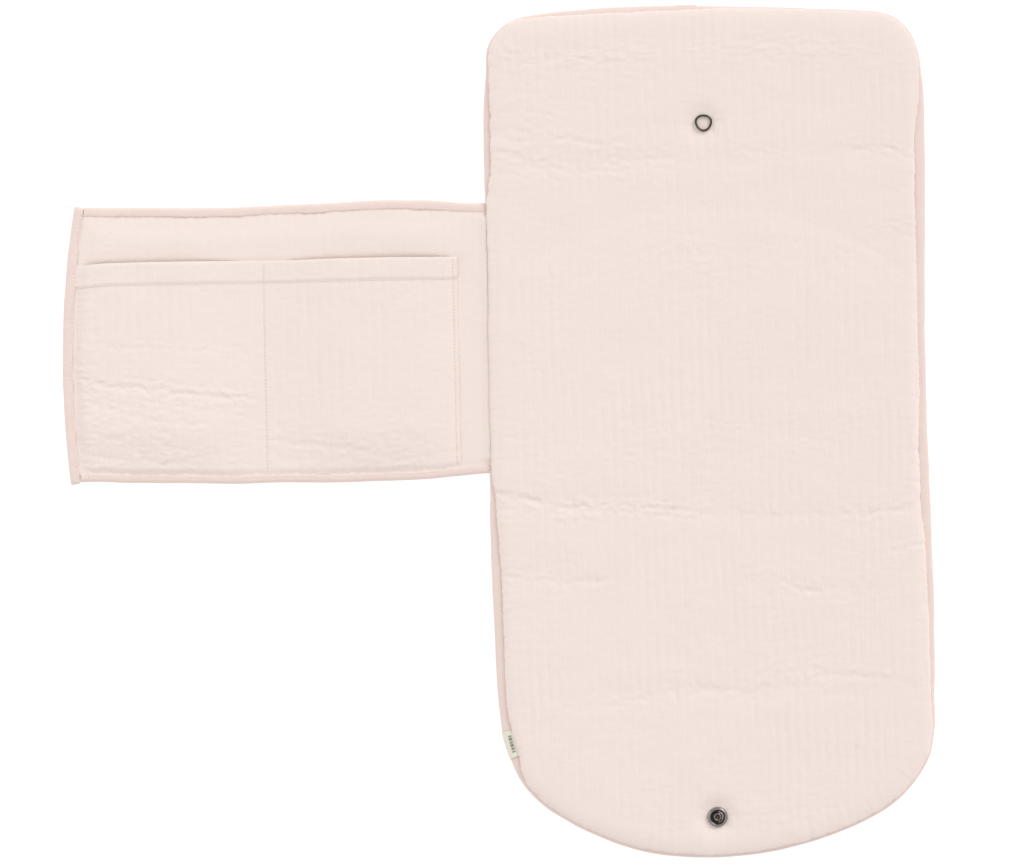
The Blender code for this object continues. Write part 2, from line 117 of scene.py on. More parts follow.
# How deep the side is drawn in by its seam: (place by the edge, depth)
PUCKER_DEPTH = (
    ((181, 0), 0.5), ((181, 120), 0.7), ((181, 200), 0.4), ((0, 265), 0.4), ((-170, 250), 0.5),
    ((-181, 190), 1.1), ((-181, 125), 1), ((-181, 105), 0.4), ((-181, 0), 0.3), ((-181, -120), 0.4),
    ((-181, -200), 0.8), ((-181, -300), 0.5), ((-130, -395), 0.7), ((0, -437), 0.5), ((130, -395), 0.7),
    ((181, -300), 0.4), ((181, -190), 0.7), ((181, -110), 1.1),
)

# How far the sewn edge stands outside its drawn outline: (place by the edge, distance). This table and the
# flap's two like it follow measurements of how far the photo's outline lay from the rendered outline.
EDGE_STRAY = (
    ((181, 0), -1), ((181, 30), 0), ((181, 80), 1.1), ((181, 105), 1.7), ((181, 155), 2.4),
    ((181, 187), 1.7), ((181, 204), 0.6), ((180, 226), -1.6), ((165, 255), 1.6), ((125, 261), 0.9),
    ((90, 262), -0.2), ((40, 264), -0.5), ((2, 265), 0.2), ((-39, 264), 1.9), ((-60, 263), 3),
    ((-122, 259), 4), ((-142, 258), 3.2), ((-168, 248), 2), ((-176, 236), 0.8), ((-181, 220), -3.2),
    ((-181, 203), -1.4), ((-181, 187), 0.1), ((-181, 140), 1.2), ((-181, 60), 0.5), ((-181, -100), 1.2),
    ((-181, -143), 1.8), ((-181, -190), 1.9), ((-181, -225), 0.3), ((-181, -258), -0.6),
    ((-181, -290), -1.2), ((-181, -307), -2.5), ((-180, -324), -3.5), ((-177, -340), -4.6),
    ((-168, -357), -4.2), ((-158, -373), -3), ((-142, -388), -2.8), ((-125, -402), -1.6), ((-105, -413), 0),
    ((-64, -429), 2.1), ((-43, -433), 2), ((-2, -437), 0.7), ((60, -430), 0.4), ((101, -415), 1.2),
    ((142, -395), 2.4), ((165, -378), 3), ((176, -360), 3.6), ((182, -340), 1.3), ((181, -315), 0.2),
    ((181, -290), 1.3), ((181, -241), 2.2), ((181, -190), 1.3), ((181, -143), 0.5), ((181, -93), -1.4),
    ((181, -20), -1),
)

# Creases across the mat: (places from left to right, depth, half width)
MAT_CREASES = (
    (((-131, 161), (-86, 152), (-45, 141), (-12, 135)), 0.6, 1.9),
    (((-176, 149), (-152, 142), (-127, 134), (-86, 129), (-53, 132)), 0.7, 1.9),
    (((25, 147), (46, 143), (71, 136)), 0.6, 1.8),
    (((104, 144), (153, 143), (176, 131)), 0.8, 1.9),
    (((131, 78), (178, 77)), 0.7, 1.8),
    (((-28, 58), (7, 58)), 0.5, 1.6),
    (((-182, -131), (-149, -140), (-125, -146), (-59, -147), (-26, -151)), 1.2, 2),
    (((-40, -149), (0, -153), (60, -156), (122, -157)), 0.5, 1.8),
    (((105, -157), (135, -156), (155, -154), (179, -141)), 0.8, 1.9),
    (((-133, -151), (-92, -151), (-59, -153), (-10, -158)), 0.8, 1.6),
    (((138, -189), (159, -185), (177, -179)), 0.9, 1.8),
    (((-175, -201), (-126, -208), (-60, -206)), 0.7, 1.8),
    (((55, -210), (72, -218), (96, -220)), 0.8, 1.8),
    (((-95, -312), (-62, -306), (-29, -299), (37, -300), (62, -292), (152, -294)), 0.7, 2.2),
    (((-74, -104), (-42, -109)), 0.5, 1.6),
    (((-8, -76), (41, -82)), 0.4, 1.6),
    (((-169, 133), (-144, 126), (-119, 123)), 0.6, 1.6),
    (((-151, 182), (-118, 175)), 0.5, 1.6),
    (((-54, 81), (-5, 75)), 0.4, 1.6),
    (((-126, -189), (-93, -195)), 0.4, 1.6),
)
# Broad hollows across the mat: (x, y, half length, half width, depth)
MAT_HOLLOWS = (
    (-90, 138, 100, 8, 0.7), (125, 142, 60, 8, 0.5), (-120, -140, 90, 9, 0.6), (60, -156, 120, 9, 0.4),
    (10, -302, 120, 9, 0.6), (-140, -205, 50, 8, 0.4), (90, -216, 50, 9, 0.4), (165, 72, 30, 8, 0.4),
)
# Patches where the cotton is crinkled more than elsewhere: (x, y, half length, half width, gain)
MAT_CRINKLES = (
    (-99, 225, 60, 14, 1.8), (68, 231, 50, 16, 1.8), (-90, 145, 80, 14, 1.2), (-116, -313, 20, 12, 1),
    (-40, -414, 26, 8, 1), (55, -403, 45, 14, 1), (-160, 150, 30, 60, 1), (80, -215, 70, 20, 0.9),
    (60, -290, 90, 16, 1), (-60, -150, 120, 10, 0.8), (-165, -205, 25, 40, 0.8), (10, 60, 120, 20, 0.5),
    (0, -95, 140, 18, 0.6),
)

# ---------------------------------------------------------------- the flap and its pockets
# How far the flap's long edges stand outside their drawn lines: (x, distance), measured as for EDGE_STRAY
FLAP_TOP_STRAY = (
    (-521, 1.8), (-500, 1.3), (-459, 0.4), (-417, -0.4), (-397, -0.7), (-356, 0.5), (-314, 1.3),
    (-294, 2.4), (-253, 2.7), (-232, 2.1), (-212, 0.5), (-191, -1.2), (-175, -1.6),
)
FLAP_BOTTOM_STRAY = (
    (-521, -2.9), (-500, -2.6), (-479, -1.4), (-438, -0.4), (-397, 1.1), (-356, 0.8), (-314, 1.5),
    (-253, 0.8), (-232, 0.1), (-212, -1.5), (-191, -3.1), (-175, -3.6),
)
FLAP_CREASES = (
    (((-225, 82), (-203, 84)), 0.4, 1.6),
    (((-500, 92), (-478, 99)), 0.6, 3),
    (((-508, 78), (-486, 86)), 0.5, 3),
)
POCKET_CREASES = (
    (((-527, -26), (-510, -35), (-477, -40), (-419, -47), (-374, -50)), 1.5, 1.9),
    (((-527, -47), (-502, -56), (-461, -67), (-412, -72)), 0.7, 2),
    (((-525, -73), (-494, -81), (-453, -92), (-420, -94)), 0.6, 2),
    (((-522, -94), (-478, -101), (-421, -106)), 0.6, 2),
    (((-501, -5), (-435, -10), (-377, -8)), 0.5, 1.8),
    (((-365, -86), (-313, -93), (-256, -98)), 0.6, 2.2),
    (((-262, -112), (-235, -108), (-212, -104)), 0.8, 2),
    (((-336, 29), (-286, 26)), 0.3, 1.6),
    (((-469, -51), (-420, -61), (-379, -66)), 0.6, 1.8),
    (((-526, -30), (-513, -43), (-505, -56)), 0.7, 1.8),
)
POCKET_CRINKLES = (
    (-515, -20, 14, 70, 1.5), (-470, -85, 60, 28, 1.2), (-260, -100, 60, 16, 1.2), (-420, -100, 80, 16, 0.9),
    (-300, -70, 60, 34, 0.6),
)


def smooth(t):
    t = np.clip(t, 0, 1)
    return t * t * (3 - 2 * t)


def bell(off, half):
    return np.exp(-((off / half) ** 2))


def fall(off, reach):
    """1 up to zero, and falling away over a reach beyond it."""
    return np.exp(-np.maximum(off, 0) / reach)


class Noise:
    """Smooth noise in the plane, from -1 to 1: random values on a lattice, joined by smooth steps."""

    def __init__(self, seed, size=256):
        self.values = np.random.default_rng(seed).uniform(-1, 1, (size, size))

    def __call__(self, x, y=0.0):
        x, y = np.broadcast_arrays(x, y)
        column, row = np.floor(x).astype(int), np.floor(y).astype(int)
        across, up = smooth(x - column), smooth(y - row)
        size = len(self.values)
        left, right, low, high = column % size, (column + 1) % size, row % size, (row + 1) % size
        below = self.values[left, low] * (1 - across) + self.values[right, low] * across
        above = self.values[left, high] * (1 - across) + self.values[right, high] * across
        return below * (1 - up) + above * up


NOISES = [Noise(seed) for seed in range(16)]


def noise(which, x, y=0.0, wide=10 * MM, high=None):
    return NOISES[which % len(NOISES)](x / wide + 7.3 * which, y / (high or wide) + 3.1 * which)


def folds(value):
    """Turns smooth noise into narrow valleys between rounded ridges, from 0 to 1."""
    return (1 - np.abs(value)) ** 3


class Edge:
    """An outline as a polyline, by the distance travelled along it. Outward is to the right of travel."""

    def __init__(self, points, closed=False):
        corners = np.asarray(points, float)
        at = np.concatenate([[0], np.cumsum(np.hypot(*np.diff(corners, axis=0).T))])
        self.length = at[-1]
        self.at = np.linspace(0, self.length, int(self.length / OUTLINE_STEP))
        self.points = np.stack([np.interp(self.at, at, corners[:, k]) for k in range(2)], axis=-1)
        self.closed = closed

    def point(self, s):
        s = np.mod(s, self.length) if self.closed else s
        return np.interp(s, self.at, self.points[:, 0]), np.interp(s, self.at, self.points[:, 1])

    def outward(self, s, reach=1.5 * MM):
        (x0, y0), (x1, y1) = self.point(s - reach), self.point(s + reach)
        length = np.hypot(x1 - x0, y1 - y0)
        return (y1 - y0) / length, (x0 - x1) / length

    def inset(self, s, inset):
        (x, y), (across, up) = self.point(s), self.outward(s)
        return x - across * inset, y - up * inset

    def nearest(self, x, y):
        s = self.at[np.argmin(np.hypot(self.points[:, 0] - x, self.points[:, 1] - y))]
        (x0, y0), (across, up) = self.point(s), self.outward(s)
        return s + (y - y0) * across - (x - x0) * up

    def table(self, places):
        """A smooth value along the edge, from places near it in millimetres and the values there."""
        pairs = sorted((self.nearest(x * MM, y * MM), value * MM) for (x, y), value in places)
        at, values = np.array(pairs).T
        along = np.arange(0, self.length, OUTLINE_STEP)
        window = 2 * int(TABLE_SMOOTHING / OUTLINE_STEP) + 1
        row = np.interp(along, at, values, period=self.length)
        row = np.concatenate([row[-window:], row, row[:window]])
        row = np.convolve(row, np.ones(window) / window, mode="same")[window:-window]
        return lambda s: np.interp(s, along, row, period=self.length)


def arc(centre, radius, start, end):
    count = max(int(abs(end - start) * radius / OUTLINE_STEP), 2)
    angles = np.linspace(start, end, count + 1)
    return np.column_stack([centre[0] + radius * np.cos(angles), centre[1] + radius * np.sin(angles)])


def half_end(reach, corner, sweep):
    """Right half of a rounded end that reaches out to +Y: the corner's arc, then half of the wide arc."""
    across = HALF_WIDTH - corner
    rise = math.sqrt((sweep - corner) ** 2 - across**2)
    meet = math.atan2(rise, across)
    turn = arc((across, reach - sweep + rise), corner, 0, meet)
    return np.vstack([turn, arc((0, reach - sweep), sweep, meet, math.pi / 2)[1:]]), len(turn) // 2


def mat_outline():
    """The whole outline, anticlockwise from the middle of the right side, and its four corner places."""
    head, head_turn = half_end(HEAD_END, HEAD_CORNER, HEAD_SWEEP)
    foot, foot_turn = half_end(-FOOT_END, FOOT_CORNER, FOOT_SWEEP)
    head_corner, foot_corner = head[head_turn], foot[foot_turn]
    corners = [head_corner, head_corner * (-1, 1), foot_corner * (-1, -1), foot_corner * (1, -1)]
    loop = [[(HALF_WIDTH, 0)], head, (head * (-1, 1))[-2::-1]]
    loop += [foot * (-1, -1), (foot * (1, -1))[-2::-1], [(HALF_WIDTH, 0)]]
    edge = Edge(np.vstack(loop), closed=True)
    return edge, [edge.nearest(*corner) for corner in corners]


MAT_EDGE, MAT_CORNERS = mat_outline()
cover_reach = MAT_EDGE.table(COVER_REACH)
pucker_depth = MAT_EDGE.table(PUCKER_DEPTH)
edge_stray = MAT_EDGE.table(EDGE_STRAY)


def right_side(y):
    return np.mod(y, MAT_EDGE.length)


def left_side(y):
    return MAT_EDGE.nearest(-HALF_WIDTH, 0) - y


def mat_wobble(s):
    """How far the sewn edge strays from its drawn outline."""
    return edge_stray(s) + 0.5 * MM * noise(1, s, wide=55 * MM) + 0.25 * MM * noise(2, s, wide=17 * MM)


# ---------------------------------------------------------------- relief


def hermite(x, places):
    """A smooth line through places, by x."""
    at, value = np.array(places).T * MM
    slopes = np.gradient(value, at)
    k = np.clip(np.searchsorted(at, x) - 1, 0, len(at) - 2)
    step = at[k + 1] - at[k]
    t = np.clip((x - at[k]) / step, 0, 1)
    line = (2 * t**3 - 3 * t**2 + 1) * value[k] + (t**3 - 2 * t**2 + t) * step * slopes[k]
    line += (3 * t**2 - 2 * t**3) * value[k + 1] + (t**3 - t**2) * step * slopes[k + 1]
    return line, slopes[k] * (1 - t) + slopes[k + 1] * t


def creases(x, y, lines):
    """Valleys with a soft lip on either side, wandering a little about each line."""
    relief = np.zeros_like(x)
    margin = 18 * MM
    for which, (places, depth, half) in enumerate(lines):
        (left, right), heights = (places[0][0] * MM, places[-1][0] * MM), [p[1] * MM for p in places]
        near = (x > left - margin) & (x < right + margin)
        near &= (y > min(heights) - margin) & (y < max(heights) + margin)
        if not near.any():
            continue
        xn, yn, half = x[near], y[near], half * MM
        line, slope = hermite(xn, places)
        stray = 1.3 * MM * noise(which, xn, 0, 11 * MM) + 0.9 * MM * noise(which + 3, xn, 0, 4.5 * MM)
        off = (yn - line - stray) / np.sqrt(1 + slope**2)
        fade = smooth((xn - left + 6 * MM) / (18 * MM)) * smooth((right + 6 * MM - xn) / (18 * MM))
        strong = fade * np.clip(0.6 + 0.8 * noise(which + 5, xn, 0, 12 * MM), 0.1, 1.2)
        beside = fade * np.clip(0.3 + 1.2 * noise(which + 7, xn, 0, 14 * MM), 0, 1)
        lips = 0.5 * bell(off - 2.3 * half, 1.7 * half) + 0.35 * bell(off + 2.3 * half, 1.7 * half)
        second = bell(off - 3.4 * half + stray, 0.8 * half) * beside
        slant = noise(which + 8, xn + 0.5 * yn, yn, 9 * MM, 2.8 * MM)
        ticks = 0.36 * noise(which + 6, xn, yn, 3 * MM, 1.8 * MM) - 0.36 * folds(slant)
        band = bell(off, 4.5 * half) * fade
        relief[near] += depth * MM * (0.55 * strong * (lips - bell(off, half)) - 0.32 * second + ticks * band)
    return relief


def cotton(x, y, patches, rib=8.1 * MM, first=0):
    """Ribs along the cloth with short puckers across them, stronger in some patches."""
    sway = 1.3 * MM * noise(first, x, y, 60 * MM, 45 * MM)
    turn = 2 * math.pi * (x + sway) / rib
    patchy = 0.6 + 0.4 * noise(first + 1, x, y, 34 * MM, 48 * MM)
    broken = np.clip(0.6 + 0.75 * noise(first + 2, x, y, 7 * MM, 12 * MM), 0, 1.3)
    ribs = -0.5 * MM * ((1 + np.cos(turn)) / 2) ** 2 * patchy * broken
    ribs -= 0.18 * MM * ((1 + np.cos(2 * turn + 0.8)) / 2) ** 2 * (1 - patchy)
    gain = 0.6 + 0.4 * noise(first + 3, x, y, 26 * MM, 22 * MM)
    for centre, level, long, wide, more in patches:
        gain = gain + more * np.exp(-(((x / MM - centre) / long) ** 2) - ((y / MM - level) / wide) ** 2)
    across = noise(first + 4, x, y, 6.5 * MM, 2.7 * MM) + 0.6 * noise(first + 5, x, y, 3.6 * MM, 1.9 * MM)
    slant = noise(first + 6, x + 0.5 * y, y - 0.3 * x, 10 * MM, 3.6 * MM)
    return ribs + 0.14 * MM * gain * (across + 0.6 * slant)


def swell(x, y, first=8):
    """Soft unevenness of the wadding."""
    return 0.28 * MM * noise(first, x, y, 46 * MM) + 0.16 * MM * noise(first + 1, x, y, 21 * MM, 15 * MM)


def dimple(x, y, at, depth, flat=6 * MM, slope=9 * MM):
    """A snap's dimple with short folds that run out from it."""
    dx, dy = x - at.x, y - at.y
    away = np.hypot(dx, dy)
    relief = -depth * bell(np.maximum(away - flat, 0), slope)
    angle = np.arctan2(dy, dx)
    rays = folds(noise(3, np.cos(angle) * 2.3, np.sin(angle) * 2.3, 1.0))
    reach = bell(away - 12 * MM, 6 * MM)
    return relief - 0.45 * MM * rays * reach


def mat_detail(x, y):
    relief = cotton(x, y, MAT_CRINKLES) + creases(x, y, MAT_CREASES)
    for level, row, long, wide, depth in MAT_HOLLOWS:
        off = (y - row * MM + 3 * MM * noise(7, x, 0, 35 * MM)) / (wide * MM)
        relief -= depth * MM * np.exp(-(off**2) - ((x - level * MM) / (long * MM)) ** 2)
    relief += dimple(x, y, STUD_AT, 1.9 * MM) + dimple(x, y, SOCKET_AT, 3.2 * MM)
    return relief


def mat_top(x, y):
    """Height of the padded top without its fine relief."""
    head = HEAD_SWEEP - np.hypot(x, y - HEAD_END + HEAD_SWEEP)
    foot = FOOT_SWEEP - np.hypot(x, y - FOOT_END - FOOT_SWEEP)
    sag = sum(fall(inset, SAG_REACH) for inset in (HALF_WIDTH - np.abs(x), head, foot))
    return MAT_TOP - MAT_EDGE_SAG * np.minimum(sag, 1.2) + swell(x, y)


def puckers(s, inset):
    """Folds that the seam draws into the side of the cover, at right angles to the edge."""
    reach = fall(inset - 4 * MM, 8 * MM)
    long = folds(noise(4, s, inset, 7 * MM, 45 * MM))
    short = folds(noise(5, s, inset, 3.4 * MM, 20 * MM)) * fall(inset - 6 * MM, 5 * MM)
    return -1.25 * pucker_depth(s) * (long * reach + 0.7 * short)


# ---------------------------------------------------------------- meshes


def add_piece(name, points, faces, material, normals=None):
    mesh = bpy.data.meshes.new(name)
    mesh.from_pydata(np.asarray(points).tolist(), [], [list(map(int, face)) for face in faces])
    mesh.materials.append(material)
    mesh.shade_smooth()
    if normals is not None:
        mesh.normals_split_custom_set_from_vertices(normals.tolist())
    obj = bpy.data.objects.new(name, mesh)
    bpy.context.collection.objects.link(obj)
    return obj


def numbered(rows, columns):
    """Numbers of a grid of vertices that is stored row by row."""
    return np.arange(rows * columns).reshape(rows, columns)


def quads_between(ids):
    return np.stack([ids[:-1, :-1], ids[:-1, 1:], ids[1:, 1:], ids[1:, :-1]], axis=-1)


def grid_faces(rows, columns):
    return quads_between(numbered(rows, columns)).reshape(-1, 4)


WELD = 0.002 * MM  # vertices closer than this count as one


def shared_normals(parts):
    """Vertex normals of several meshes, as if vertices in the same place were one."""
    points = np.vstack([part[0] for part in parts])
    starts = np.cumsum([0] + [len(part[0]) for part in parts])
    quads = np.vstack([np.asarray(part[1]) + start for part, start in zip(parts, starts)])
    a, b, c, d = points[quads.T]
    face = np.cross(c - a, d - b)
    _, welded = np.unique(np.round(points / WELD).astype(np.int64), axis=0, return_inverse=True)
    welded = welded.ravel()
    total = np.zeros((welded.max() + 1, 3))
    for k in range(4):
        np.add.at(total, welded[quads[:, k]], face)
    normals = total[welded]
    normals /= np.maximum(np.linalg.norm(normals, axis=1, keepdims=True), 1e-12)
    return [normals[low:high] for low, high in zip(starts, starts[1:])]


def facing(points, quads, up):
    """The same quads, turned so that they face up, or down."""
    a, b, c, _ = points[quads.T]
    level = np.cross(b - a, c - a)[:, 2].sum()
    return quads if (level > 0) == up else quads[:, ::-1]


def strip_layout(low, high, cell, columns):
    """Plan of a straight length of the mat: a grid, with the left and right sides as its borders."""
    rows = max(int(round((high - low) / cell)), 2)
    y = np.linspace(low, high, rows + 1)
    x = np.linspace(-(HALF_WIDTH - RIM), HALF_WIDTH - RIM, columns + 1)
    plan = np.stack(np.meshgrid(x, y), axis=-1).reshape(-1, 2)
    ids = numbered(rows + 1, columns + 1)
    borders = [(ids[:, 0], left_side(y)), (ids[:, -1], right_side(y))]
    return plan, grid_faces(rows + 1, columns + 1), borders


def end_layout(cut, corners, cell, columns):
    """Plan of a rounded end: a grid stretched between the cut line, both sides and the end."""
    left, right = left_side(cut), right_side(cut)
    if cut > 0:
        s_left, s_right = corners[1], corners[0]
    else:
        s_left, s_right = corners[2], corners[3]
        right = right if right > s_right else right + MAT_EDGE.length
    rows = max(int(round(abs(s_left - left) / cell)), 2)
    up = np.linspace(0, 1, rows + 1)
    over = np.linspace(0, 1, columns + 1)
    s_up = left + (s_left - left) * up
    s_over = s_left + (s_right - s_left) * over
    s_down = right + (s_right - right) * up
    side_l, side_r, far = (np.stack(MAT_EDGE.inset(s, RIM), -1) for s in (s_up, s_down, s_over))
    near = side_l[0] + (side_r[0] - side_l[0]) * over[:, None]
    t, u = up[:, None, None], over[None, :, None]
    plan = (1 - t) * near + t * far + (1 - u) * side_l[:, None] + u * side_r[:, None]
    plan -= (1 - t) * ((1 - u) * near[0] + u * near[-1]) + t * ((1 - u) * far[0] + u * far[-1])
    ids = numbered(rows + 1, columns + 1)
    border = np.concatenate([ids[:, 0], ids[-1, 1:], ids[-2::-1, -1]])
    travelled = np.concatenate([s_up, s_over[1:], s_down[-2::-1]])
    return plan.reshape(-1, 2), grid_faces(rows + 1, columns + 1), [(border, travelled)]


SEAM_INSETS = np.array([[9.3], [9.9]]) * MM  # the cover's hidden last rings, inside the tape
SEAM_LEVELS = np.array([[6.0], [4.9]]) * MM


def top_rings(s):
    """Vertices of the cover from the rim out to the seam: places, one row for each ring."""
    s = s[None, :]
    flat = np.arange(RIM - CELL, SHOULDER - CELL / 2, -CELL)[:, None]
    turn = (np.arange(1, TURN_STEPS + 1) / TURN_STEPS * TURN)[:, None]
    out = SHOULDER - cover_reach(s)
    shoulder = mat_top(*MAT_EDGE.inset(s, SHOULDER))
    rise = shoulder - MAT_SIDE
    x, y = MAT_EDGE.inset(s, flat)
    tilt = np.vstack([np.zeros_like(flat), turn]) * np.ones_like(s)
    inset = np.vstack([flat * np.ones_like(s), SHOULDER - out * np.sin(turn)])
    level = np.vstack([mat_top(x, y), MAT_SIDE + rise * np.cos(turn)])
    spread = np.vstack([flat * np.ones_like(s), SHOULDER - (out + rise) / 2 * turn])
    relief = mat_detail(*MAT_EDGE.inset(s, spread)) + puckers(s, spread)
    relief *= np.where(tilt > math.radians(90), 0.7, 1)
    inset = inset - relief * np.sin(tilt)
    level = level + relief * np.cos(tilt)
    inset = np.vstack([inset, SEAM_INSETS * np.ones_like(s)])
    level = np.vstack([level, SEAM_LEVELS * np.ones_like(s)])
    inset = inset - mat_wobble(s) * (1 - inset / RIM)
    x, y = MAT_EDGE.inset(s, inset)
    return np.stack([x, y, level], axis=-1)


def back_top(x, y):
    level = 0.25 * MM + 0.2 * MM * (1 + noise(10, x, y, 30 * MM)) + 0.5 * cotton(x, y, (), first=6)
    level = level - dimple(x, y, STUD_AT, 3.1 * MM, 7.5 * MM, 4 * MM)
    return level - dimple(x, y, SOCKET_AT, 2.2 * MM, 7.5 * MM, 4 * MM)


def back_rings(s):
    """The back cover's rings, from the rim out to where it goes under the tape."""
    s = s[None, :]
    flat = np.arange(RIM - 2 * CELL, SHOULDER, -2 * CELL)
    inset = np.concatenate([flat, [12 * MM, 10.4 * MM, 9.3 * MM]])[:, None] * np.ones_like(s)
    rise = smooth((13 * MM - inset) / (4 * MM)) * 0.75 * MM
    level = np.maximum(back_top(*MAT_EDGE.inset(s, inset)) - 0.2 * puckers(s, inset - 5 * MM), 0) + rise
    inset = inset - mat_wobble(s) * (1 - inset / RIM)
    x, y = MAT_EDGE.inset(s, inset)
    level = np.vstack([level, 1.9 * MM * np.ones_like(s)])
    x, y = (np.vstack([v, v[-1:]]) for v in (x, y))
    return np.stack([x, y, level], axis=-1)


def cover_mesh(layout, height, rings, up):
    """A cover over one layout: the grid at its height, then the rings outside each border."""
    plan, quads, borders = layout
    points = [np.column_stack([plan, height(plan[:, 0], plan[:, 1])])]
    faces = [facing(points[0], quads, up)]
    for ids, s in borders:
        loops = rings(s)
        start = sum(len(block) for block in points)
        count, around = loops.shape[:2]
        ring_quads = quads_between(np.vstack([ids, start + numbered(count, around)]))
        points.append(loops.reshape(-1, 3))
        first = facing(np.vstack(points), ring_quads[0], up)
        turned = not np.array_equal(first, ring_quads[0])
        ring_quads = ring_quads.reshape(-1, 4)
        faces.append(ring_quads[:, ::-1] if turned else ring_quads)
    return np.vstack(points), np.vstack(faces)


def mat_layouts(cell, columns):
    return {
        "head": end_layout(HEAD_CUT, MAT_CORNERS, cell, columns),
        "middle_head": strip_layout(0, HEAD_CUT, cell, columns),
        "middle_foot": strip_layout(FOOT_CUT, 0, cell, columns),
        "foot": end_layout(FOOT_CUT, MAT_CORNERS, cell, columns),
    }


def bend(piece):
    """Bakes a piece's place into its mesh."""
    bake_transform(piece)


CAD_PARTS = {"head": "head", "middle_head": "head_spine", "middle_foot": "foot_spine", "foot": "foot"}


def replace_layer(length, layer):
    """Hides the CAD node of a layer that a length stands in for, and for the middle two the middle panel's
    too.
    """
    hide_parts(f"{CAD_PARTS[length]}_{layer}", *([f"middle_{layer}"] if "middle" in length else []))


def make_covers(materials):
    jobs = (
        ("top", 1, lambda x, y: mat_top(x, y) + mat_detail(x, y), top_rings, "cotton", "quilt"),
        ("back", 2, back_top, back_rings, "lining", "lining"),
    )
    for side, coarse, height, rings, material, slot in jobs:
        layouts = mat_layouts(coarse * CELL, COLUMNS // coarse)
        made = {name: cover_mesh(layout, height, rings, side == "top") for name, layout in layouts.items()}
        for (name, (points, quads)), normals in zip(made.items(), shared_normals(list(made.values()))):
            piece = add_piece(f"mat_{side}_{name}", points, quads, materials[material], normals)
            replace_layer(name, f"{side}_cover")
            bend(piece)


def loops_mesh(loops):
    """A closed tube through loops of vertices that are the same length, with flat ends."""
    ids = numbered(*loops.shape[:2])
    ahead = np.roll(ids, -1, axis=1)
    quads = np.stack([ids[:-1], ahead[:-1], ahead[1:], ids[1:]], axis=-1).reshape(-1, 4)
    return loops.reshape(-1, 3), quads, [ids[0][::-1], ids[-1]]


def closed_tube(loops):
    """A tube through loops of vertices, closed and turned outwards: its places, quads and two end faces."""
    points, quads, caps = loops_mesh(loops)
    a, b, c, d = points[quads.T]
    volume = (np.cross(b, c) * a).sum() + (np.cross(c, d) * a).sum()
    for cap in caps:
        rim = points[cap]
        volume += (np.cross(rim[1:-1], rim[2:]) * rim[0]).sum()
    return (points, quads[:, ::-1], [cap[::-1] for cap in caps]) if volume < 0 else (points, quads, caps)


def add_wadding(name, x, y, level, materials):
    """A closed pad from the places of its section's corners, one row for each section."""
    points, quads, caps = closed_tube(np.stack(np.broadcast_arrays(x, y, level), -1))
    piece = add_piece(name, points, [*quads, *caps], materials["wadding"])
    bend(piece)
    return piece


def make_wadding(materials):
    """Wadding inside the mat, a little smaller than the covers."""
    inside, low, high = 15 * MM, 3.9 * MM, 7.4 * MM
    spans = {"head": (HEAD_CUT, HEAD_END), "middle_head": (0, HEAD_CUT), "middle_foot": (0, FOOT_CUT),
             "foot": (FOOT_CUT, FOOT_END)}
    across = np.array([-1, -0.985, -0.5, 0, 0.5, 0.985, 1, 0.985, 0.5, 0, -0.5, -0.985])
    level = low + (high - low) * np.array([0.5, 0.9, 1, 1, 1, 0.9, 0.5, 0.1, 0, 0, 0, 0.1])
    edge_x, edge_y = MAT_EDGE.inset(np.linspace(0, MAT_EDGE.length, 2400), inside)
    right = edge_x > 0
    order = np.argsort(edge_y[right])
    levels, widths = edge_y[right][order], edge_x[right][order]
    for name, (start, end) in spans.items():
        way = 1 if end > start else -1
        last = end if name.startswith("middle") else end - way * (inside + 0.5 * MM)
        y = np.linspace(start, last, max(int(abs(last - start) / (5 * MM)), 4))[:, None]
        half = np.interp(y, levels, widths)
        piece = add_wadding(f"mat_wadding_{name}", half * across, y, level, materials)
        replace_layer(name, "wadding")


TAPE_STEP = 1.2 * MM
# Sections of the tapes: (inset, height) in millimetres, outer face first, then back inside
MAT_TAPE = (
    (9.4, 5.7), (8.8, 6.2), (7.2, 6.2), (5, 5.95), (3.2, 5.65), (1.8, 5.2), (0.8, 4.6), (0.2, 3.9),
    (0, 3.2), (0.3, 2.4), (1, 1.6), (2.4, 1.1), (5, 0.95), (9, 0.95), (9, 1.7), (3, 1.8), (1.6, 2.3),
    (1, 3.2), (1.5, 4.2), (3, 4.9), (9.4, 5.2),
)
FLAP_TAPE = (
    (8.4, 4.4), (7.9, 4.95), (6.6, 5.2), (4.8, 5.3), (3, 5.15), (1.7, 4.7), (0.7, 4), (0.1, 3.1), (0, 2.4),
    (0.2, 1.5), (0.9, 0.7), (2.2, 0.25), (8.2, 0.15), (8.2, 0.8), (2.4, 0.9), (1.2, 1.5), (0.9, 2.4),
    (1.3, 3.4), (2.6, 4.1), (8.4, 4),
)


def gathers(s, seed):
    """How far the tape's stitched side rises and falls along the edge."""
    return noise(seed, s, wide=4.5 * MM) * 0.22 * MM + noise(seed + 1, s, wide=14 * MM) * 0.3 * MM


def tape_loops(edge, s, section, wobble, seed, width=1.0):
    """Loops of the bias tape along an edge: a section with small gathers along its stitched side."""
    inset, height = np.array(section).T[:, None, :] * MM
    s = s[:, None]
    stitched = smooth((inset - 3 * MM) / (5 * MM))
    above = np.where(height > height.mean(), 1, -0.25)
    fine = 0.12 * MM * noise(seed + 2, s, inset, 2.4 * MM)
    height = height + above * (gathers(s, seed) * (0.25 + 0.75 * stitched) + fine)
    inset = inset * width + stitched * noise(seed + 3, s, wide=9 * MM) * 0.35 * MM
    inset = inset - wobble(s) * np.maximum(1 - inset / RIM, 0)
    x, y = edge.inset(s, inset)
    return np.stack([x, y, np.maximum(height, 0.05 * MM)], axis=-1)


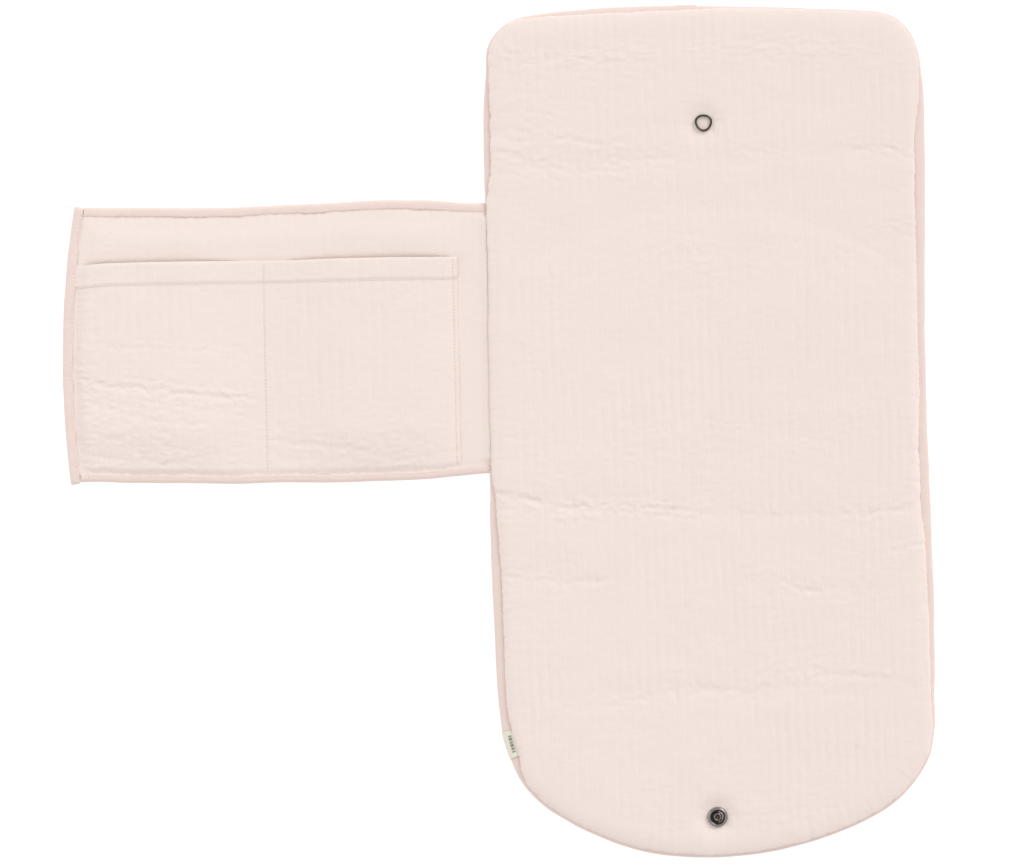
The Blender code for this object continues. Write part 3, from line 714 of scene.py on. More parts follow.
def samples(start, end, step):
    return np.linspace(start, end, max(int(round(abs(end - start) / step)), 2) + 1)


def tape_overlap(loops, s):
    """The tape's free end lies over its start, at the middle of the head end."""
    start, end = MAT_EDGE.nearest(-3 * MM, HEAD_END), MAT_EDGE.nearest(-30 * MM, HEAD_END)
    over = smooth((s - start) / (0.8 * MM)) * smooth((end - s) / (20 * MM))
    across, up = MAT_EDGE.outward(s)
    loops[..., 0] += (over * across * 0.8 * MM)[:, None]
    loops[..., 1] += (over * up * 0.8 * MM)[:, None]
    loops[..., 2] += np.where(loops[..., 2] > 3 * MM, 0.7 * MM, 0) * over[:, None]
    return loops


def add_tapes(tapes, materials):
    """Adds tapes from (name, length, CAD nodes, cloth below, distance, loops), shaded as one."""
    made = [closed_tube(loops) for *_, loops in tapes]
    normals = shared_normals([(points, quads) for points, quads, _ in made])
    for (name, length, nodes, below, long, _), (points, quads, caps), normal in zip(tapes, made, normals):
        piece = add_piece(name, points, [*quads, *caps], materials["tape"], normal)
        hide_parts(*nodes)
        if length is None:
            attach(piece, "pocket_flap")
        else:
            bend(piece)


def make_mat_tape(materials):
    lap = MAT_EDGE.length
    head_left, head_right = left_side(HEAD_CUT), right_side(HEAD_CUT)
    left, foot_left, foot_right = left_side(0), left_side(FOOT_CUT), lap + FOOT_CUT
    tapes = []
    for part, length, start, end, nodes in (
        ("head", "head", head_right, head_left, ["head_binding"]),
        ("right_head", "middle_head", 0, head_right, ["head_spine_binding_right", "middle_binding_right"]),
        ("left_head", "middle_head", head_left, left, ["head_spine_binding_left", "middle_binding_left"]),
        ("left_foot", "middle_foot", left, foot_left, ["foot_spine_binding_left", "middle_binding_left"]),
        ("foot", "foot", foot_left, foot_right, ["foot_binding"]),
        ("right_foot", "middle_foot", foot_right, lap, ["foot_spine_binding_right", "middle_binding_right"]),
    ):
        s = samples(start, end, TAPE_STEP)
        loops = tape_overlap(tape_loops(MAT_EDGE, s, MAT_TAPE, mat_wobble, 6), s)
        tapes.append((f"mat_tape_{part}", length, nodes, f"mat_top_{length}", end - start, loops))
    add_tapes(tapes, materials)


# ---------------------------------------------------------------- the flap


def flap_end_x(y):
    """The flap's bowed far edge."""
    return FLAP_FAR - FLAP_BOW_OUT + FLAP_SWEEP - np.sqrt(FLAP_SWEEP**2 - (y - FLAP_BOW_AT) ** 2)


def flap_top_y(x):
    return FLAP_TOP + hermite(x, FLAP_TOP_STRAY)[0]


def flap_bottom_y(x):
    return FLAP_BOTTOM - hermite(x, FLAP_BOTTOM_STRAY)[0]


def flap_inset(x, y):
    """Distance from the nearest bound edge of the flap."""
    return np.minimum(np.minimum(flap_top_y(x) - y, y - flap_bottom_y(x)), x - flap_end_x(y))


def flap_wobble(s):
    return 0.5 * MM * noise(11, s, wide=60 * MM) + 0.2 * MM * noise(12, s, wide=19 * MM)


FLAP_UNDER = 3 * MM  # the flap reaches this far in past its fold line, into the edge of the mat
FLAP_SINK = 0.9 * MM  # and drops to the mat's underside over this length at its end
FLAP_SEWN = 4.6 * MM  # height of the front cover at its tape
FLAP_PLAIN = 4.9 * MM  # and away from it
FLAP_CROWN = 2.2 * MM  # the padding's rise above that, beside the pockets
FLAP_LIFT = 1.5 * MM  # the seam draws the cover up by this where it meets the mat


def flap_front(x, y):
    """Height of the flap's front cover: sewn down at its edges and at the mat, soft between them."""
    inset = flap_inset(x, y)
    root = smooth((FLAP_ROOT + FLAP_UNDER - x) / FLAP_SINK)
    level = FLAP_SEWN + (FLAP_PLAIN - FLAP_SEWN) * smooth((inset - 7 * MM) / (6 * MM))
    strip = smooth((y - POCKET_MOUTH + 6 * MM) / (10 * MM))
    crown = smooth((inset - 8 * MM) / (22 * MM)) * strip * smooth((POCKET_NEAR + 20 * MM - x) / (40 * MM))
    along = np.where(FLAP_TOP - y < y - FLAP_BOTTOM, x, x + 0.3)
    level = level + FLAP_CROWN * crown + 0.25 * MM * noise(13, x, y, 30 * MM, 20 * MM) * (0.3 + strip)
    level = level + FLAP_LIFT * smooth((x - FLAP_ROOT) / (7 * MM) + 1.1) * smooth((inset - 8 * MM) / (6 * MM))
    drawn = folds(noise(14, along, inset, 6 * MM, 30 * MM))
    drawn = drawn + 0.5 * folds(noise(15, along, inset, 2.8 * MM, 20 * MM))
    level = level - 0.4 * MM * drawn * fall(inset - 9 * MM, 4 * MM)
    level = level + 0.6 * cotton(x, y, (), first=3) + creases(x, y, FLAP_CREASES)
    return level * root + 0.6 * MM * (1 - root)


def flap_back(x, y):
    inset = flap_inset(x, y)
    level = 0.25 * MM + 0.15 * MM * (1 + noise(9, x, y, 25 * MM)) + 0.4 * cotton(x, y, (), first=9)
    return np.maximum(level, 0.1 * MM) + 0.7 * MM * smooth((9.5 * MM - inset) / (2.5 * MM))


def flap_plan(near, far, cell, margin):
    """Grid over a length of the flap. Where far is None it runs to the bowed end."""
    columns = max(int((near - (FLAP_FAR if far is None else far)) / cell), 3)
    up = np.linspace(0, 1, int(2 * HALF_FLAP / cell) + 1)[:, None]
    bowed = flap_end_x(FLAP_MIDDLE + HALF_FLAP * (2 * up - 1)) + margin
    end = bowed if far is None else np.full_like(up, far)
    x = near + (end - near) * np.linspace(0, 1, columns + 1)
    low, high = flap_bottom_y(x) + margin, flap_top_y(x) - margin
    return x, low + (high - low) * up


def make_flap_covers(materials):
    spans = {"flap_root": (FLAP_ROOT + FLAP_UNDER, FLAP_CUT), "flap": (FLAP_CUT, None)}
    nodes = {"flap_root": "flap_spine", "flap": "flap"}
    jobs = (("front", flap_front, 1.4 * MM, 5 * MM, True, "cotton", "quilt"),
            ("back", flap_back, 2.4 * MM, 6 * MM, False, "lining", "lining"))
    for side, height, cell, margin, up, material, slot in jobs:
        made = []
        for near, far in spans.values():
            x, y = flap_plan(near, far, cell, margin)
            points = np.stack([x, y, height(x, y)], -1).reshape(-1, 3)
            made.append((points, facing(points, grid_faces(*x.shape), up)))
        for length, (points, quads), normals in zip(spans, made, shared_normals(made)):
            piece = add_piece(f"{length}_{side}", points, quads, materials[material], normals)
            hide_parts(f"{nodes[length]}_{side}_cover")
            bend(piece)
    across = np.array([-1, -0.97, 0, 0.97, 1, 0.97, 0, -0.97])
    height = np.array([0.5, 1, 1, 1, 0.5, 0, 0, 0])
    y = FLAP_MIDDLE + (HALF_FLAP - 13 * MM) * across
    for length, (near, far) in spans.items():
        near = min(near, FLAP_ROOT - 4 * MM)
        far = FLAP_FAR + 14 * MM if far is None else far
        x = np.linspace(near, far, max(int((near - far) / (5 * MM)), 3))[:, None]
        piece = add_wadding(f"{length}_filling", x, y, 1.2 * MM + 2 * MM * height, materials)
        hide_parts(f"{nodes[length]}_wadding")


TOP_EAR, BOTTOM_EAR = 3 * MM, -0.6 * MM  # the end tape reaches this far past the flap's corners
CORNER_TAPE = 8.4 * MM  # the end tape's width, where the other two go under it
END_TAPE_OVER = 0.4 * MM  # it lies over them by this
TOP_WIDTH, LOW_WIDTH = 0.94, 0.76  # share of that width that shows


def make_flap_tape(materials):
    """Tape along the flap's top and bottom edges, and over its far end with a small ear at each corner."""
    x = np.linspace(FLAP_ROOT + FLAP_UNDER, FLAP_FAR, 400)
    top = Edge(np.column_stack([x, flap_top_y(x)]))
    bottom = Edge(np.column_stack([x, flap_bottom_y(x)])[::-1])
    y = np.linspace(FLAP_TOP + TOP_EAR, FLAP_BOTTOM - BOTTOM_EAR, 200)
    end = Edge(np.column_stack([flap_end_x(y), y]))
    top_cut, low_cut = top.nearest(FLAP_CUT, FLAP_TOP), bottom.nearest(FLAP_CUT, FLAP_BOTTOM)
    top_corner = top.nearest(flap_end_x(FLAP_TOP) + CORNER_TAPE, FLAP_TOP)
    low_corner = bottom.nearest(flap_end_x(FLAP_BOTTOM) + CORNER_TAPE, FLAP_BOTTOM)
    tapes = []
    for part, edge, low, high, length, node, width in (
        ("top_root", top, 0, top_cut, "flap_root", "flap_spine_binding_top", TOP_WIDTH),
        ("top", top, top_cut, top_corner, "flap", "flap_binding_top", TOP_WIDTH),
        ("bottom", bottom, low_corner, low_cut, "flap", "flap_binding_bottom", LOW_WIDTH),
        ("bottom_root", bottom, low_cut, bottom.length, "flap_root", "flap_spine_binding_bottom", LOW_WIDTH),
        ("end", end, 0, end.length, None, "flap_binding_end", 1.0),
    ):
        s = samples(low, high, TAPE_STEP)
        loops = tape_loops(edge, s, FLAP_TAPE, flap_wobble, 9 if part == "end" else 8, width)
        if part == "end":
            ends = np.minimum(s, edge.length - s)
            squeeze = 0.12 + 0.88 * smooth(ends / (3 * MM))[:, None] ** 0.4
            centre = loops.mean(axis=1, keepdims=True)
            loops = centre + (loops - centre) * squeeze[..., None] ** np.array([0.12, 0, 1])
            loops[..., 2] += END_TAPE_OVER
        else:
            loops[..., 2] *= 0.16 + 0.84 * smooth((FLAP_ROOT + FLAP_UNDER - loops[..., 0]) / FLAP_SINK)
        tapes.append((f"flap_tape_{part}", length, [node], "flap_front", high - low, loops))
    add_tapes(tapes, materials)


DIVIDER_X = -HALF_WIDTH - 184.6 * MM
SIDE_SEAM = 3.4 * MM  # from the panel's side
HEM = 18.5 * MM
BULGE = 6 * MM
PANEL_CLOTH, HEM_CLOTH = 0.8 * MM, 1.7 * MM


def mouth_sag(x):
    return 1.6 * MM * smooth((FLAP_FAR + 42 * MM - x) / (34 * MM))


def hem_rise(y):
    return (HEM_CLOTH - PANEL_CLOTH) * smooth((y - POCKET_MOUTH + HEM) / (1.5 * MM))


def pocket_share(x, y):
    """How far each pocket stands open, from 0 at its seams to 1."""
    end = flap_end_x(y) + 7 * MM
    left = (x - end) / (DIVIDER_X - end)
    right = (x - DIVIDER_X) / (POCKET_NEAR - 3 * MM - DIVIDER_X)
    part = np.where(x < DIVIDER_X, left, right)
    off = 2 * np.clip(part, 0, 1) - 1
    by_divider = np.where(x < DIVIDER_X, off > 0, off < 0)
    outside = 1 - np.abs(off) ** np.where(x < DIVIDER_X, 5.5, 3.8)
    hump = np.where(by_divider, smooth(np.abs(x - DIVIDER_X) / (74 * MM)), outside)
    rise = smooth((y - flap_bottom_y(x) - 5 * MM) / (42 * MM))
    return np.clip(hump, 0, 1) * (0.12 + 0.88 * rise)


def pocket_top(x, y):
    """Height of the pocket panel's face."""
    end_inset, bottom_inset = x - flap_end_x(y), y - flap_bottom_y(x)
    held = smooth((end_inset - 6.5 * MM) / (13 * MM)) * smooth((bottom_inset - 5.5 * MM) / (7 * MM))
    level = 4.2 * MM + 1.7 * MM * held + BULGE * pocket_share(x, y) * held
    crumple = cotton(x, y, POCKET_CRINKLES, 8.7 * MM, first=5) + creases(x, y, POCKET_CREASES)
    drawn = folds(noise(3, y, end_inset, 5 * MM, 30 * MM)) * fall(end_inset - 9 * MM, 9 * MM)
    lower = 0.8 * folds(noise(4, x, bottom_inset, 7 * MM, 30 * MM))
    drawn = drawn + lower * fall(bottom_inset - 7 * MM, 6 * MM)
    seams = bell(x - DIVIDER_X, 1.3 * MM) + 1.2 * bell(x - POCKET_NEAR + SIDE_SEAM, 0.8 * MM)
    hem = bell(y - POCKET_MOUTH + HEM, 0.9 * MM) + 0.6 * bell(y - POCKET_MOUTH + HEM + 2.6 * MM, 0.8 * MM)
    level = level + crumple * held - 0.8 * MM * drawn - 0.25 * MM * seams - 0.3 * MM * hem
    return level + 0.3 * MM * noise(7, x, y, 34 * MM, 26 * MM) * held


def make_pocket(materials):
    """The pocket panel: one cloth with its top edge turned over, closed all round."""
    cell = 1.2 * MM
    y = np.linspace(FLAP_BOTTOM + 4.5 * MM, POCKET_MOUTH, int((POCKET_MOUTH - FLAP_BOTTOM) / cell))[:, None]
    part = np.linspace(0, 1, int((POCKET_NEAR - FLAP_FAR) / cell))
    x = POCKET_NEAR + (flap_end_x(y) + 5 * MM - POCKET_NEAR) * part
    y = y + (flap_bottom_y(x) - FLAP_BOTTOM) * (POCKET_MOUTH - y) / (POCKET_MOUTH - FLAP_BOTTOM)
    lift = smooth((y - FLAP_BOTTOM - 60 * MM) / (POCKET_MOUTH - FLAP_BOTTOM - 60 * MM))
    over = pocket_top(x, y)
    thick = PANEL_CLOTH + hem_rise(y)
    lip, side = 0.5 * MM * bell(y - POCKET_MOUTH, 1.2 * MM), 0.4 * MM * bell(x - POCKET_NEAR, 0.7 * MM)
    over = over + thick - PANEL_CLOTH - lip - side
    shown_y = y - mouth_sag(x) * lift + 0.4 * MM * noise(2, x, 0, 40 * MM) * lift
    upper = np.stack([x, shown_y, over], -1)
    lower = np.stack([x, shown_y, over - thick + lip + side * 0.5], -1)
    rows, columns = x.shape
    ids = numbered(rows, columns)
    rim = np.concatenate([ids[0], ids[1:, -1], ids[-1, -2::-1], ids[-2:0:-1, 0]])
    count = rows * columns
    ahead = np.roll(rim, -1)
    sides = np.stack([rim, ahead, ahead + count, rim + count], -1)
    points = np.vstack([upper.reshape(-1, 3), lower.reshape(-1, 3)])
    top = facing(points, grid_faces(rows, columns), True)
    base = facing(points, grid_faces(rows, columns) + count, False)
    quads = np.vstack([top, base, sides])
    edge = points[sides]
    outward = np.cross(edge[:, 1] - edge[:, 0], edge[:, 3] - edge[:, 0])
    centre = np.array([(POCKET_NEAR + FLAP_FAR) / 2, FLAP_MIDDLE, 0])
    if (outward * (edge[:, 0] - centre)).sum() < 0:
        quads[-len(sides):] = quads[-len(sides):, ::-1]
    piece = add_piece("pocket_front", points, quads, materials["cotton"])
    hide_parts("pocket_panel")
    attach(piece, "pocket_flap")


# ---------------------------------------------------------------- stitches, snaps and label


def stitch_mesh(path, pitch, length, radius, sink):
    """Rows of short threads that lie along a path and dip into the cloth at both ends."""
    path = np.asarray(path)
    travelled = np.concatenate([[0], np.cumsum(np.linalg.norm(np.diff(path, axis=0), axis=1))])
    starts = np.arange(pitch / 2, travelled[-1] - length, pitch)
    points, quads = [], []
    sides, rings = 6, 5
    turns = np.arange(sides) / sides * 2 * math.pi
    for start in starts:
        at = start + length * np.arange(rings) / (rings - 1)
        line = np.stack([np.interp(at, travelled, path[:, k]) for k in range(3)], -1)
        way = line[-1] - line[0]
        way /= np.linalg.norm(way)
        side = np.cross(way, (0, 0, 1))
        side /= np.linalg.norm(side)
        up = np.cross(side, way)
        bow = np.sin(np.arange(rings) / (rings - 1) * math.pi)
        line = line + up * (bow * sink - sink)[:, None]
        thick = radius * (0.35 + 0.65 * np.minimum(bow * 1.6, 1))
        loops = line[:, None] + thick[:, None, None] * (
            side * np.cos(turns)[None, :, None] + up * np.sin(turns)[None, :, None])
        mesh, faces, caps = loops_mesh(loops)
        base = len(points) * rings * sides
        points.append(mesh)
        quads += [tuple(int(i) + base for i in face) for face in [*faces, *caps]]
    return np.vstack(points), quads


def add_stitches(name, paths, material, body=None, pitch=3.4 * MM, thread=2.3 * MM):
    points, faces, start = [], [], 0
    for path in paths:
        mesh, quads = stitch_mesh(path, pitch, thread, 0.26 * MM, 0.35 * MM)
        points.append(mesh)
        faces += [tuple(i + start for i in quad) for quad in quads]
        start += len(mesh)
    piece = add_piece(name, np.vstack(points), faces, material)
    if body:
        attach(piece, body)
    else:
        bend(piece)


SEAM_INSET = 7.7 * MM  # of the row along the mat's tape


def make_stitches(materials):
    lap, thread = MAT_EDGE.length, materials["thread"]
    head_left, head_right = left_side(HEAD_CUT), right_side(HEAD_CUT)
    left, foot_left, foot_right = left_side(0), left_side(FOOT_CUT), lap + FOOT_CUT

    def seam(start, end):
        s = samples(start, end, 1 * MM)
        x, y = MAT_EDGE.inset(s, SEAM_INSET - mat_wobble(s) * (1 - SEAM_INSET / RIM))
        return np.stack([x, y, 6.05 * MM + gathers(s, 6)], -1)

    for length, runs in (
        ("head", [(head_right, head_left)]),
        ("middle_head", [(0, head_right), (head_left, left)]),
        ("middle_foot", [(left, foot_left), (foot_right, lap)]),
        ("foot", [(foot_left, foot_right)]),
    ):
        add_stitches(f"stitches_{length}", [seam(*run) for run in runs], thread)

    def panel(x, y):
        return np.stack([x, y, pocket_top(x, y) + 0.45 * MM], -1)

    hem_x = samples(POCKET_NEAR - SIDE_SEAM, FLAP_FAR + 12 * MM, 1 * MM)
    seam_y = samples(POCKET_MOUTH - 1 * MM, FLAP_BOTTOM + 9 * MM, 1 * MM)
    hem = panel(hem_x, np.full_like(hem_x, POCKET_MOUTH - HEM))
    hem[:, 1] -= mouth_sag(hem_x)
    rows = [panel(np.full_like(seam_y, x), seam_y) for x in (DIVIDER_X, POCKET_NEAR - SIDE_SEAM)]
    for row in rows:
        row[:, 2] += hem_rise(row[:, 1])
    add_stitches("stitches_pocket", [hem, *rows], thread, body="pocket_flap", pitch=2.9 * MM, thread=2 * MM)

    def tape_line(x, y, over=0.0):
        return np.stack([x, y, np.full_like(x, 5.35 * MM) + over], -1)

    long_x = samples(FLAP_CUT, FLAP_FAR + 16 * MM, 1 * MM)
    end_y = samples(FLAP_TOP - 2 * MM, FLAP_BOTTOM + 2 * MM, 1 * MM)
    rows = [tape_line(long_x, y) for y in (flap_top_y(long_x) - 6.6 * MM, flap_bottom_y(long_x) + 5.2 * MM)]
    add_stitches("stitches_flap", rows, thread)
    end = tape_line(flap_end_x(end_y) + 7 * MM, end_y, END_TAPE_OVER)
    add_stitches("stitches_flap_end", [end], thread, body="pocket_flap")


def ring_mesh(radius, wire, at, height, shape=None, steps=96, sides=14):
    """A bent wire ring about a snap's axis. shape gives the ring's radius by angle."""
    turns = np.arange(steps) / steps * 2 * math.pi
    sweep = np.arange(sides) / sides * 2 * math.pi
    around = radius * (shape(turns) if shape else np.ones_like(turns))
    away = around[:, None] + wire * np.cos(sweep)
    points = np.stack([
        at.x + away * np.cos(turns)[:, None],
        at.y + away * np.sin(turns)[:, None],
        height + wire * np.sin(sweep)[None, :] * np.ones_like(away),
    ], -1).reshape(-1, 3)
    ids = numbered(steps, sides)
    ahead, side = np.roll(ids, -1, 0), np.roll(ids, -1, 1)
    return points, np.stack([ids, ahead, np.roll(ahead, -1, 1), side], -1).reshape(-1, 4)


def turned_mesh(profile, at, steps=64):
    """A solid turned about a snap's axis from (radius, height) in millimetres, closed at both ends."""
    turns = np.arange(steps) / steps * 2 * math.pi
    radius, height = np.array(profile).T * MM
    loops = np.stack([
        at.x + radius[:, None] * np.cos(turns),
        at.y + radius[:, None] * np.sin(turns),
        height[:, None] * np.ones_like(turns),
    ], -1)
    points, quads, caps = closed_tube(loops)
    return points, [*quads, *caps]


def bent(turns):
    """The stud's prong ring isn't quite round: it has three soft sides."""
    return 1 + 0.045 * np.cos(3 * (turns + math.pi / 2)) + 0.012 * np.cos(2 * turns + 0.6)


# Profiles of the snap's turned parts: (radius, height) in millimetres
STUD = (
    (0.2, 3.8), (6.2, 3.8), (6.7, 3.5), (6.8, 3.2), (6.5, 2.8), (4.6, 2.6), (3.9, 2.3), (3.6, 1.9),
    (3.7, 1.5), (4.1, 1.2), (4.1, 0.9), (3.8, 0.55), (3.2, 0.4), (0.2, 0.35),
)
SOCKET = (
    (0.2, 7.4), (7.2, 7.4), (8, 7.9), (8.3, 8.7), (8.25, 9.6), (7.9, 10.5), (7.3, 11.05), (6.6, 11.2),
    (6.2, 11), (5.95, 10.5), (5.85, 9.6), (5.8, 8.3), (0.2, 8.2),
)
SOCKET_WELL = (
    (0.2, 8), (5.85, 8), (5.95, 8.6), (5.9, 10.1), (5.6, 10.3), (5.25, 10), (5.05, 9.2), (4.9, 8.6),
    (4.5, 8.3), (4.1, 8.4), (3.9, 8.8), (3.7, 9.3), (3.3, 9.55), (1.6, 9.6), (1.2, 9.3), (1, 8.8),
    (0.2, 8.7),
)
PRONG_RING = 6.25 * MM  # radius, to the middle of the wire


def make_snaps(materials):
    stud_ring = ring_mesh(PRONG_RING, 0.88 * MM, STUD_AT, 10 * MM, bent)
    socket_ring = ring_mesh(PRONG_RING, 0.95 * MM, SOCKET_AT, 2.7 * MM, bent)
    spring = ring_mesh(2.7 * MM, 0.5 * MM, SOCKET_AT, 9.6 * MM)
    for name, (points, faces), metal, body, nodes in (
        ("stud_prong_ring", stud_ring, "gunmetal", "head_panel", ["snap_stud_ring"]),
        ("stud", turned_mesh(STUD, STUD_AT), "gunmetal", "head_panel", ["snap_stud"]),
        # The socket and its spring take a lighter copy of the gunmetal: painted highlight standing in for
        # their reflection.
        ("socket", turned_mesh(SOCKET, SOCKET_AT), "highlit_gunmetal", "foot_panel", ["snap_socket"]),
        ("socket_well", turned_mesh(SOCKET_WELL, SOCKET_AT), "gunmetal", "foot_panel", []),
        ("socket_spring", spring, "highlit_gunmetal", "foot_panel", []),
        ("socket_prong_ring", socket_ring, "gunmetal", "foot_panel", ["snap_socket_ring"]),
    ):
        piece = add_piece(name, points, faces, materials[metal])
        if nodes:
            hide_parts(*nodes)
        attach(piece, body)


LABEL_TAPE = (
    (10.4, 6.6), (9, 6.9), (5, 6.85), (2, 6.5), (0.4, 5.6), (-0.7, 3.9), (-0.8, 3), (-0.5, 1.9), (0.6, 0.7),
    (2.4, 0.3), (9.4, 0.25), (9.4, 0.65), (2.6, 0.75), (1, 1.2), (0.1, 2.2), (-0.3, 3.1), (-0.2, 3.9),
    (0.9, 5.2), (2.3, 6), (5, 6.4), (9, 6.45), (10.4, 6.15),
)
LABEL_LENGTH = 25 * MM
# The label's dashes: (middle, half length) in millimetres, along the label
LABEL_DASHES = ((-7.6, 0.7), (-4.9, 1.4), (-1.7, 0.9), (1.1, 1.3), (4.2, 1), (7, 0.7))


def make_label(materials):
    """A woven loop label folded over the tape at the foot's rounded corner, with plain dashes on it."""
    middle = MAT_EDGE.nearest(LABEL_AT.x - 4 * MM, LABEL_AT.y)
    s = samples(middle - LABEL_LENGTH / 2, middle + LABEL_LENGTH / 2, 1 * MM)
    inset, height = np.array(LABEL_TAPE).T[:, None, :] * MM
    curl = 0.3 * MM * ((s - middle) / LABEL_LENGTH * 2)[:, None] ** 2
    x, y = MAT_EDGE.inset(s[:, None], inset - mat_wobble(s)[:, None])
    loops = np.stack([x, y, height + np.where(height > 3 * MM, curl, 0)], -1)
    points, quads, caps = closed_tube(loops)
    piece = add_piece("label_tape", points, [*quads, *caps], materials["label"])
    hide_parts("label")
    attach(piece, "foot_panel")
    marks, faces = [], []
    for step, (along, half) in enumerate(LABEL_DASHES):
        for u, v in ((-1, -1), (1, -1), (1, 1), (-1, 1)):
            x, y = MAT_EDGE.inset(middle + (along + half * v) * MM, (4.9 + 1.3 * u) * MM - mat_wobble(middle))
            marks.append((float(x), float(y), 7 * MM))
        faces.append([4 * step + k for k in range(4)])
    marks = np.array(marks)
    faces = facing(marks, np.array(faces), True)
    motif = add_piece("label_motif", marks, faces, materials["label_motif"])
    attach(motif, "foot_panel")


# ---------------------------------------------------------------- materials


class Nodes:
    """Short names for building one material's node tree."""

    def __init__(self, name):
        self.material = bpy.data.materials.new(name)
        self.material.use_nodes = True
        self.tree = self.material.node_tree
        self.shader = self.tree.nodes["Principled BSDF"]

    def add(self, kind, **settings):
        node = self.tree.nodes.new(kind)
        for key, value in settings.items():
            if key in node.inputs:
                node.inputs[key].default_value = value
            else:
                setattr(node, key, value)
        return node

    def link(self, source, target):
        self.tree.links.new(source, target)

    def places(self, scale=(1, 1, 1)):
        """The object's own coordinates, scaled."""
        coordinates = self.add("ShaderNodeTexCoord")
        mapping = self.add("ShaderNodeMapping")
        mapping.inputs["Scale"].default_value = scale
        self.link(coordinates.outputs["Object"], mapping.inputs["Vector"])
        return mapping.outputs["Vector"]

    def noise(self, scale, detail=2.0, stretch=(1, 1, 1)):
        node = self.add("ShaderNodeTexNoise", Scale=scale, Detail=detail)
        self.link(self.places(stretch), node.inputs["Vector"])
        return node.outputs["Fac"]

    def mix(self, factor, first, second):
        """Colour between first and second by a factor socket."""
        node = self.add("ShaderNodeMix", data_type="RGBA")
        self.link(factor, node.inputs["Factor"])
        for socket, value in (("A", first), ("B", second)):
            target = next(i for i in node.inputs if i.name == socket and i.type == "RGBA")
            if isinstance(value, tuple):
                target.default_value = (*value, 1)
            else:
                self.link(value, target)
        return next(o for o in node.outputs if o.type == "RGBA")

    def bump(self, height, distance, below=None):
        node = self.add("ShaderNodeBump", Distance=distance, Strength=1.0)
        self.link(height, node.inputs["Height"])
        if below:
            self.link(below, node.inputs["Normal"])
        return node.outputs["Normal"]

    def shade(self, values):
        """Sets constants on the shader's own sockets."""
        for socket, value in values.items():
            self.shader.inputs[socket].default_value = value


def woven(nodes, period, depth, below):
    """Bump of a plain weave over another bump: threads both ways, with a little slub."""
    per_metre = 2 * math.pi / period
    waves = []
    for axis in ("X", "Y"):
        wave = nodes.add("ShaderNodeTexWave", wave_type="BANDS", bands_direction=axis, Scale=per_metre / 20,
                         Distortion=1.6, Detail=1.0)
        nodes.link(nodes.places(), wave.inputs["Vector"])
        waves.append(wave.outputs["Fac"])
    both = nodes.add("ShaderNodeMath", operation="MAXIMUM")
    nodes.link(waves[0], both.inputs[0])
    nodes.link(waves[1], both.inputs[1])
    return nodes.bump(both.outputs["Value"], depth, below)


def cloth_material(name, colour, shade, roughness, sheen, weave=0.7 * MM, depth=0.05 * MM):
    """Woven cotton: two close tones in soft patches, a fine weave and small crinkles."""
    nodes = Nodes(name)
    patches = nodes.noise(38, 3)
    flecks = nodes.noise(900, 2)
    base = nodes.mix(patches, colour, shade)
    darker = tuple(value * 0.965 for value in shade)
    tone = nodes.add("ShaderNodeMapRange", **{"From Min": 0.35, "From Max": 0.75, "To Max": 0.35})
    nodes.link(flecks, tone.inputs["Value"])
    nodes.link(nodes.mix(tone.outputs["Result"], base, darker), nodes.shader.inputs["Base Color"])
    crinkle = nodes.bump(nodes.noise(420, 3, (0.7, 1.5, 1)), 0.12 * MM)
    nodes.link(woven(nodes, weave, depth, crinkle), nodes.shader.inputs["Normal"])
    nodes.shade({"Roughness": roughness, "Specular IOR Level": 0.2})
    nodes.shade({"Sheen Weight": sheen, "Sheen Roughness": 0.5})
    return nodes.material


def metal_material(name, colour, worn, roughness):
    nodes = Nodes(name)
    wear = nodes.noise(700, 3)
    nodes.link(nodes.mix(wear, colour, worn), nodes.shader.inputs["Base Color"])
    nodes.link(nodes.bump(nodes.noise(1500, 2), 0.02 * MM), nodes.shader.inputs["Normal"])
    nodes.shade({"Metallic": 1.0, "Roughness": roughness})
    return nodes.material


CLOTHS = {  # (colour, shade, roughness, sheen, and where they aren't the usual ones, weave and its depth)
    "cotton": ("crinkled_cotton", (0.872, 0.757, 0.708), (0.852, 0.732, 0.682), 0.9, 0.1),
    "tape": ("bias_tape", (0.845, 0.7, 0.645), (0.815, 0.66, 0.605), 0.85, 0.1, 0.5 * MM),
    "lining": ("coated_lining", (0.8, 0.7, 0.65), (0.77, 0.67, 0.62), 0.5, 0.05, 0.4 * MM),
    "wadding": ("wadding", (0.85, 0.85, 0.84), (0.8, 0.8, 0.79), 1.0, 0.2, 2 * MM, 0.3 * MM),
    "thread": ("thread", (0.88, 0.77, 0.72), (0.86, 0.745, 0.695), 0.7, 0.1, 0.3 * MM, 0.03 * MM),
    "label": ("label_tape", (0.83, 0.79, 0.68), (0.78, 0.74, 0.63), 0.8, 0.1, 0.5 * MM),
    "label_motif": ("label_motif", (0.22, 0.25, 0.2), (0.3, 0.33, 0.27), 0.8, 0.0, 0.4 * MM),
}


def make_materials():
    materials = {key: cloth_material(*values) for key, values in CLOTHS.items()}
    materials["gunmetal"] = metal_material("gunmetal", (0.055, 0.044, 0.04), (0.12, 0.098, 0.088), 0.26)
    # A lighter copy of the gunmetal, for the socket's rim and spring: painted highlight and reflection, not a
    # different metal.
    materials["highlit_gunmetal"] = metal_material("gunmetal_painted_highlight", (0.24, 0.22, 0.215), (0.36, 0.335, 0.325), 0.2)
    return materials


# ---------------------------------------------------------------- camera, floor and light
CAMERA_AT = Vector((-0.1631, -0.0832, 3.2))
CAMERA_ROLL = math.radians(-1.175)
VIEW_WIDTH = 0.844
FLOOR_SIZE = 12.0
FLOOR_GLOW = 0.35
SKY_LIGHT = 0.775


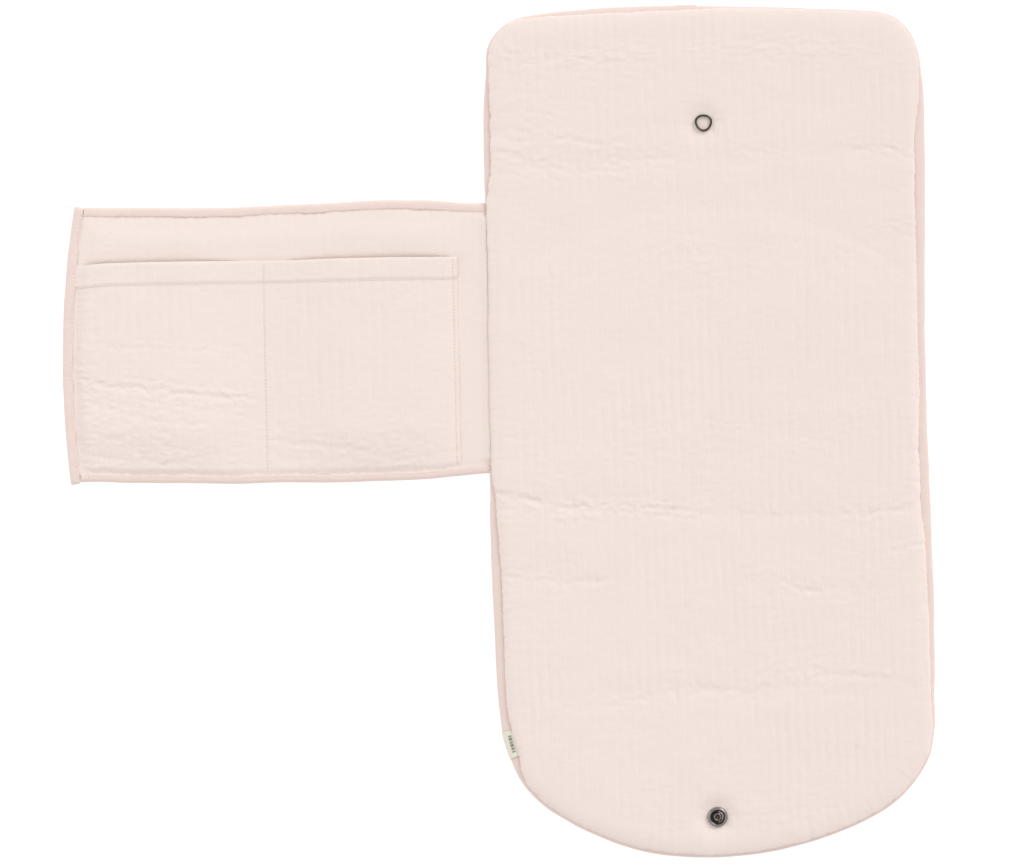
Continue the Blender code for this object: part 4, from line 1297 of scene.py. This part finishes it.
def make_stage():
    scene = bpy.context.scene
    camera = bpy.data.cameras.new("camera")
    camera.sensor_width = 36
    camera.lens = camera.sensor_width * (CAMERA_AT.z - MAT_TOP) / VIEW_WIDTH
    camera.clip_end = 50
    holder = bpy.data.objects.new("camera", camera)
    holder.location = CAMERA_AT
    holder.rotation_euler = (0, 0, CAMERA_ROLL)
    scene.collection.objects.link(holder)
    scene.camera = holder

    mesh = bpy.data.meshes.new("floor")
    corners = [(x * FLOOR_SIZE / 2, y * FLOOR_SIZE / 2, 0) for x, y in ((-1, -1), (1, -1), (1, 1), (-1, 1))]
    mesh.from_pydata(corners, [], [(0, 1, 2, 3)])
    floor = bpy.data.objects.new("floor", mesh)
    floor.location.z = -0.2 * MM
    scene.collection.objects.link(floor)
    nodes = Nodes("floor")
    nodes.shade({"Base Color": (0.93, 0.93, 0.93, 1), "Roughness": 1.0})
    nodes.shade({"Emission Color": (1, 1, 1, 1), "Emission Strength": FLOOR_GLOW})
    mesh.materials.append(nodes.material)

    world = bpy.data.worlds.new("studio")
    world.use_nodes = True
    sky = world.node_tree.nodes["Background"]
    sky.inputs["Color"].default_value = (1, 1, 1, 1)
    sky.inputs["Strength"].default_value = SKY_LIGHT
    scene.world = world
    for name, kind, place, size, power in (
        ("key_light", "SUN", (2.6, 3.0, 2.6), 0.5, 1.22),
        ("fill_light", "AREA", (-3.2, 0.4, 1.7), 2.2, 20),
    ):
        light = bpy.data.lights.new(name, kind)
        setattr(light, "angle" if kind == "SUN" else "size", size)
        light.energy = power
        lamp = bpy.data.objects.new(name, light)
        lamp.location = place
        aim = Vector((CAMERA_AT.x, CAMERA_AT.y, 0)) - Vector(place)
        lamp.rotation_euler = aim.to_track_quat("-Z", "Y").to_euler()
        scene.collection.objects.link(lamp)
    scene.view_settings.view_transform = "Standard"


def main():
    materials = make_materials()
    make_covers(materials)
    make_wadding(materials)
    make_mat_tape(materials)
    make_flap_covers(materials)
    make_flap_tape(materials)
    make_pocket(materials)
    make_stitches(materials)
    make_snaps(materials)
    make_label(materials)
    make_stage()


main()
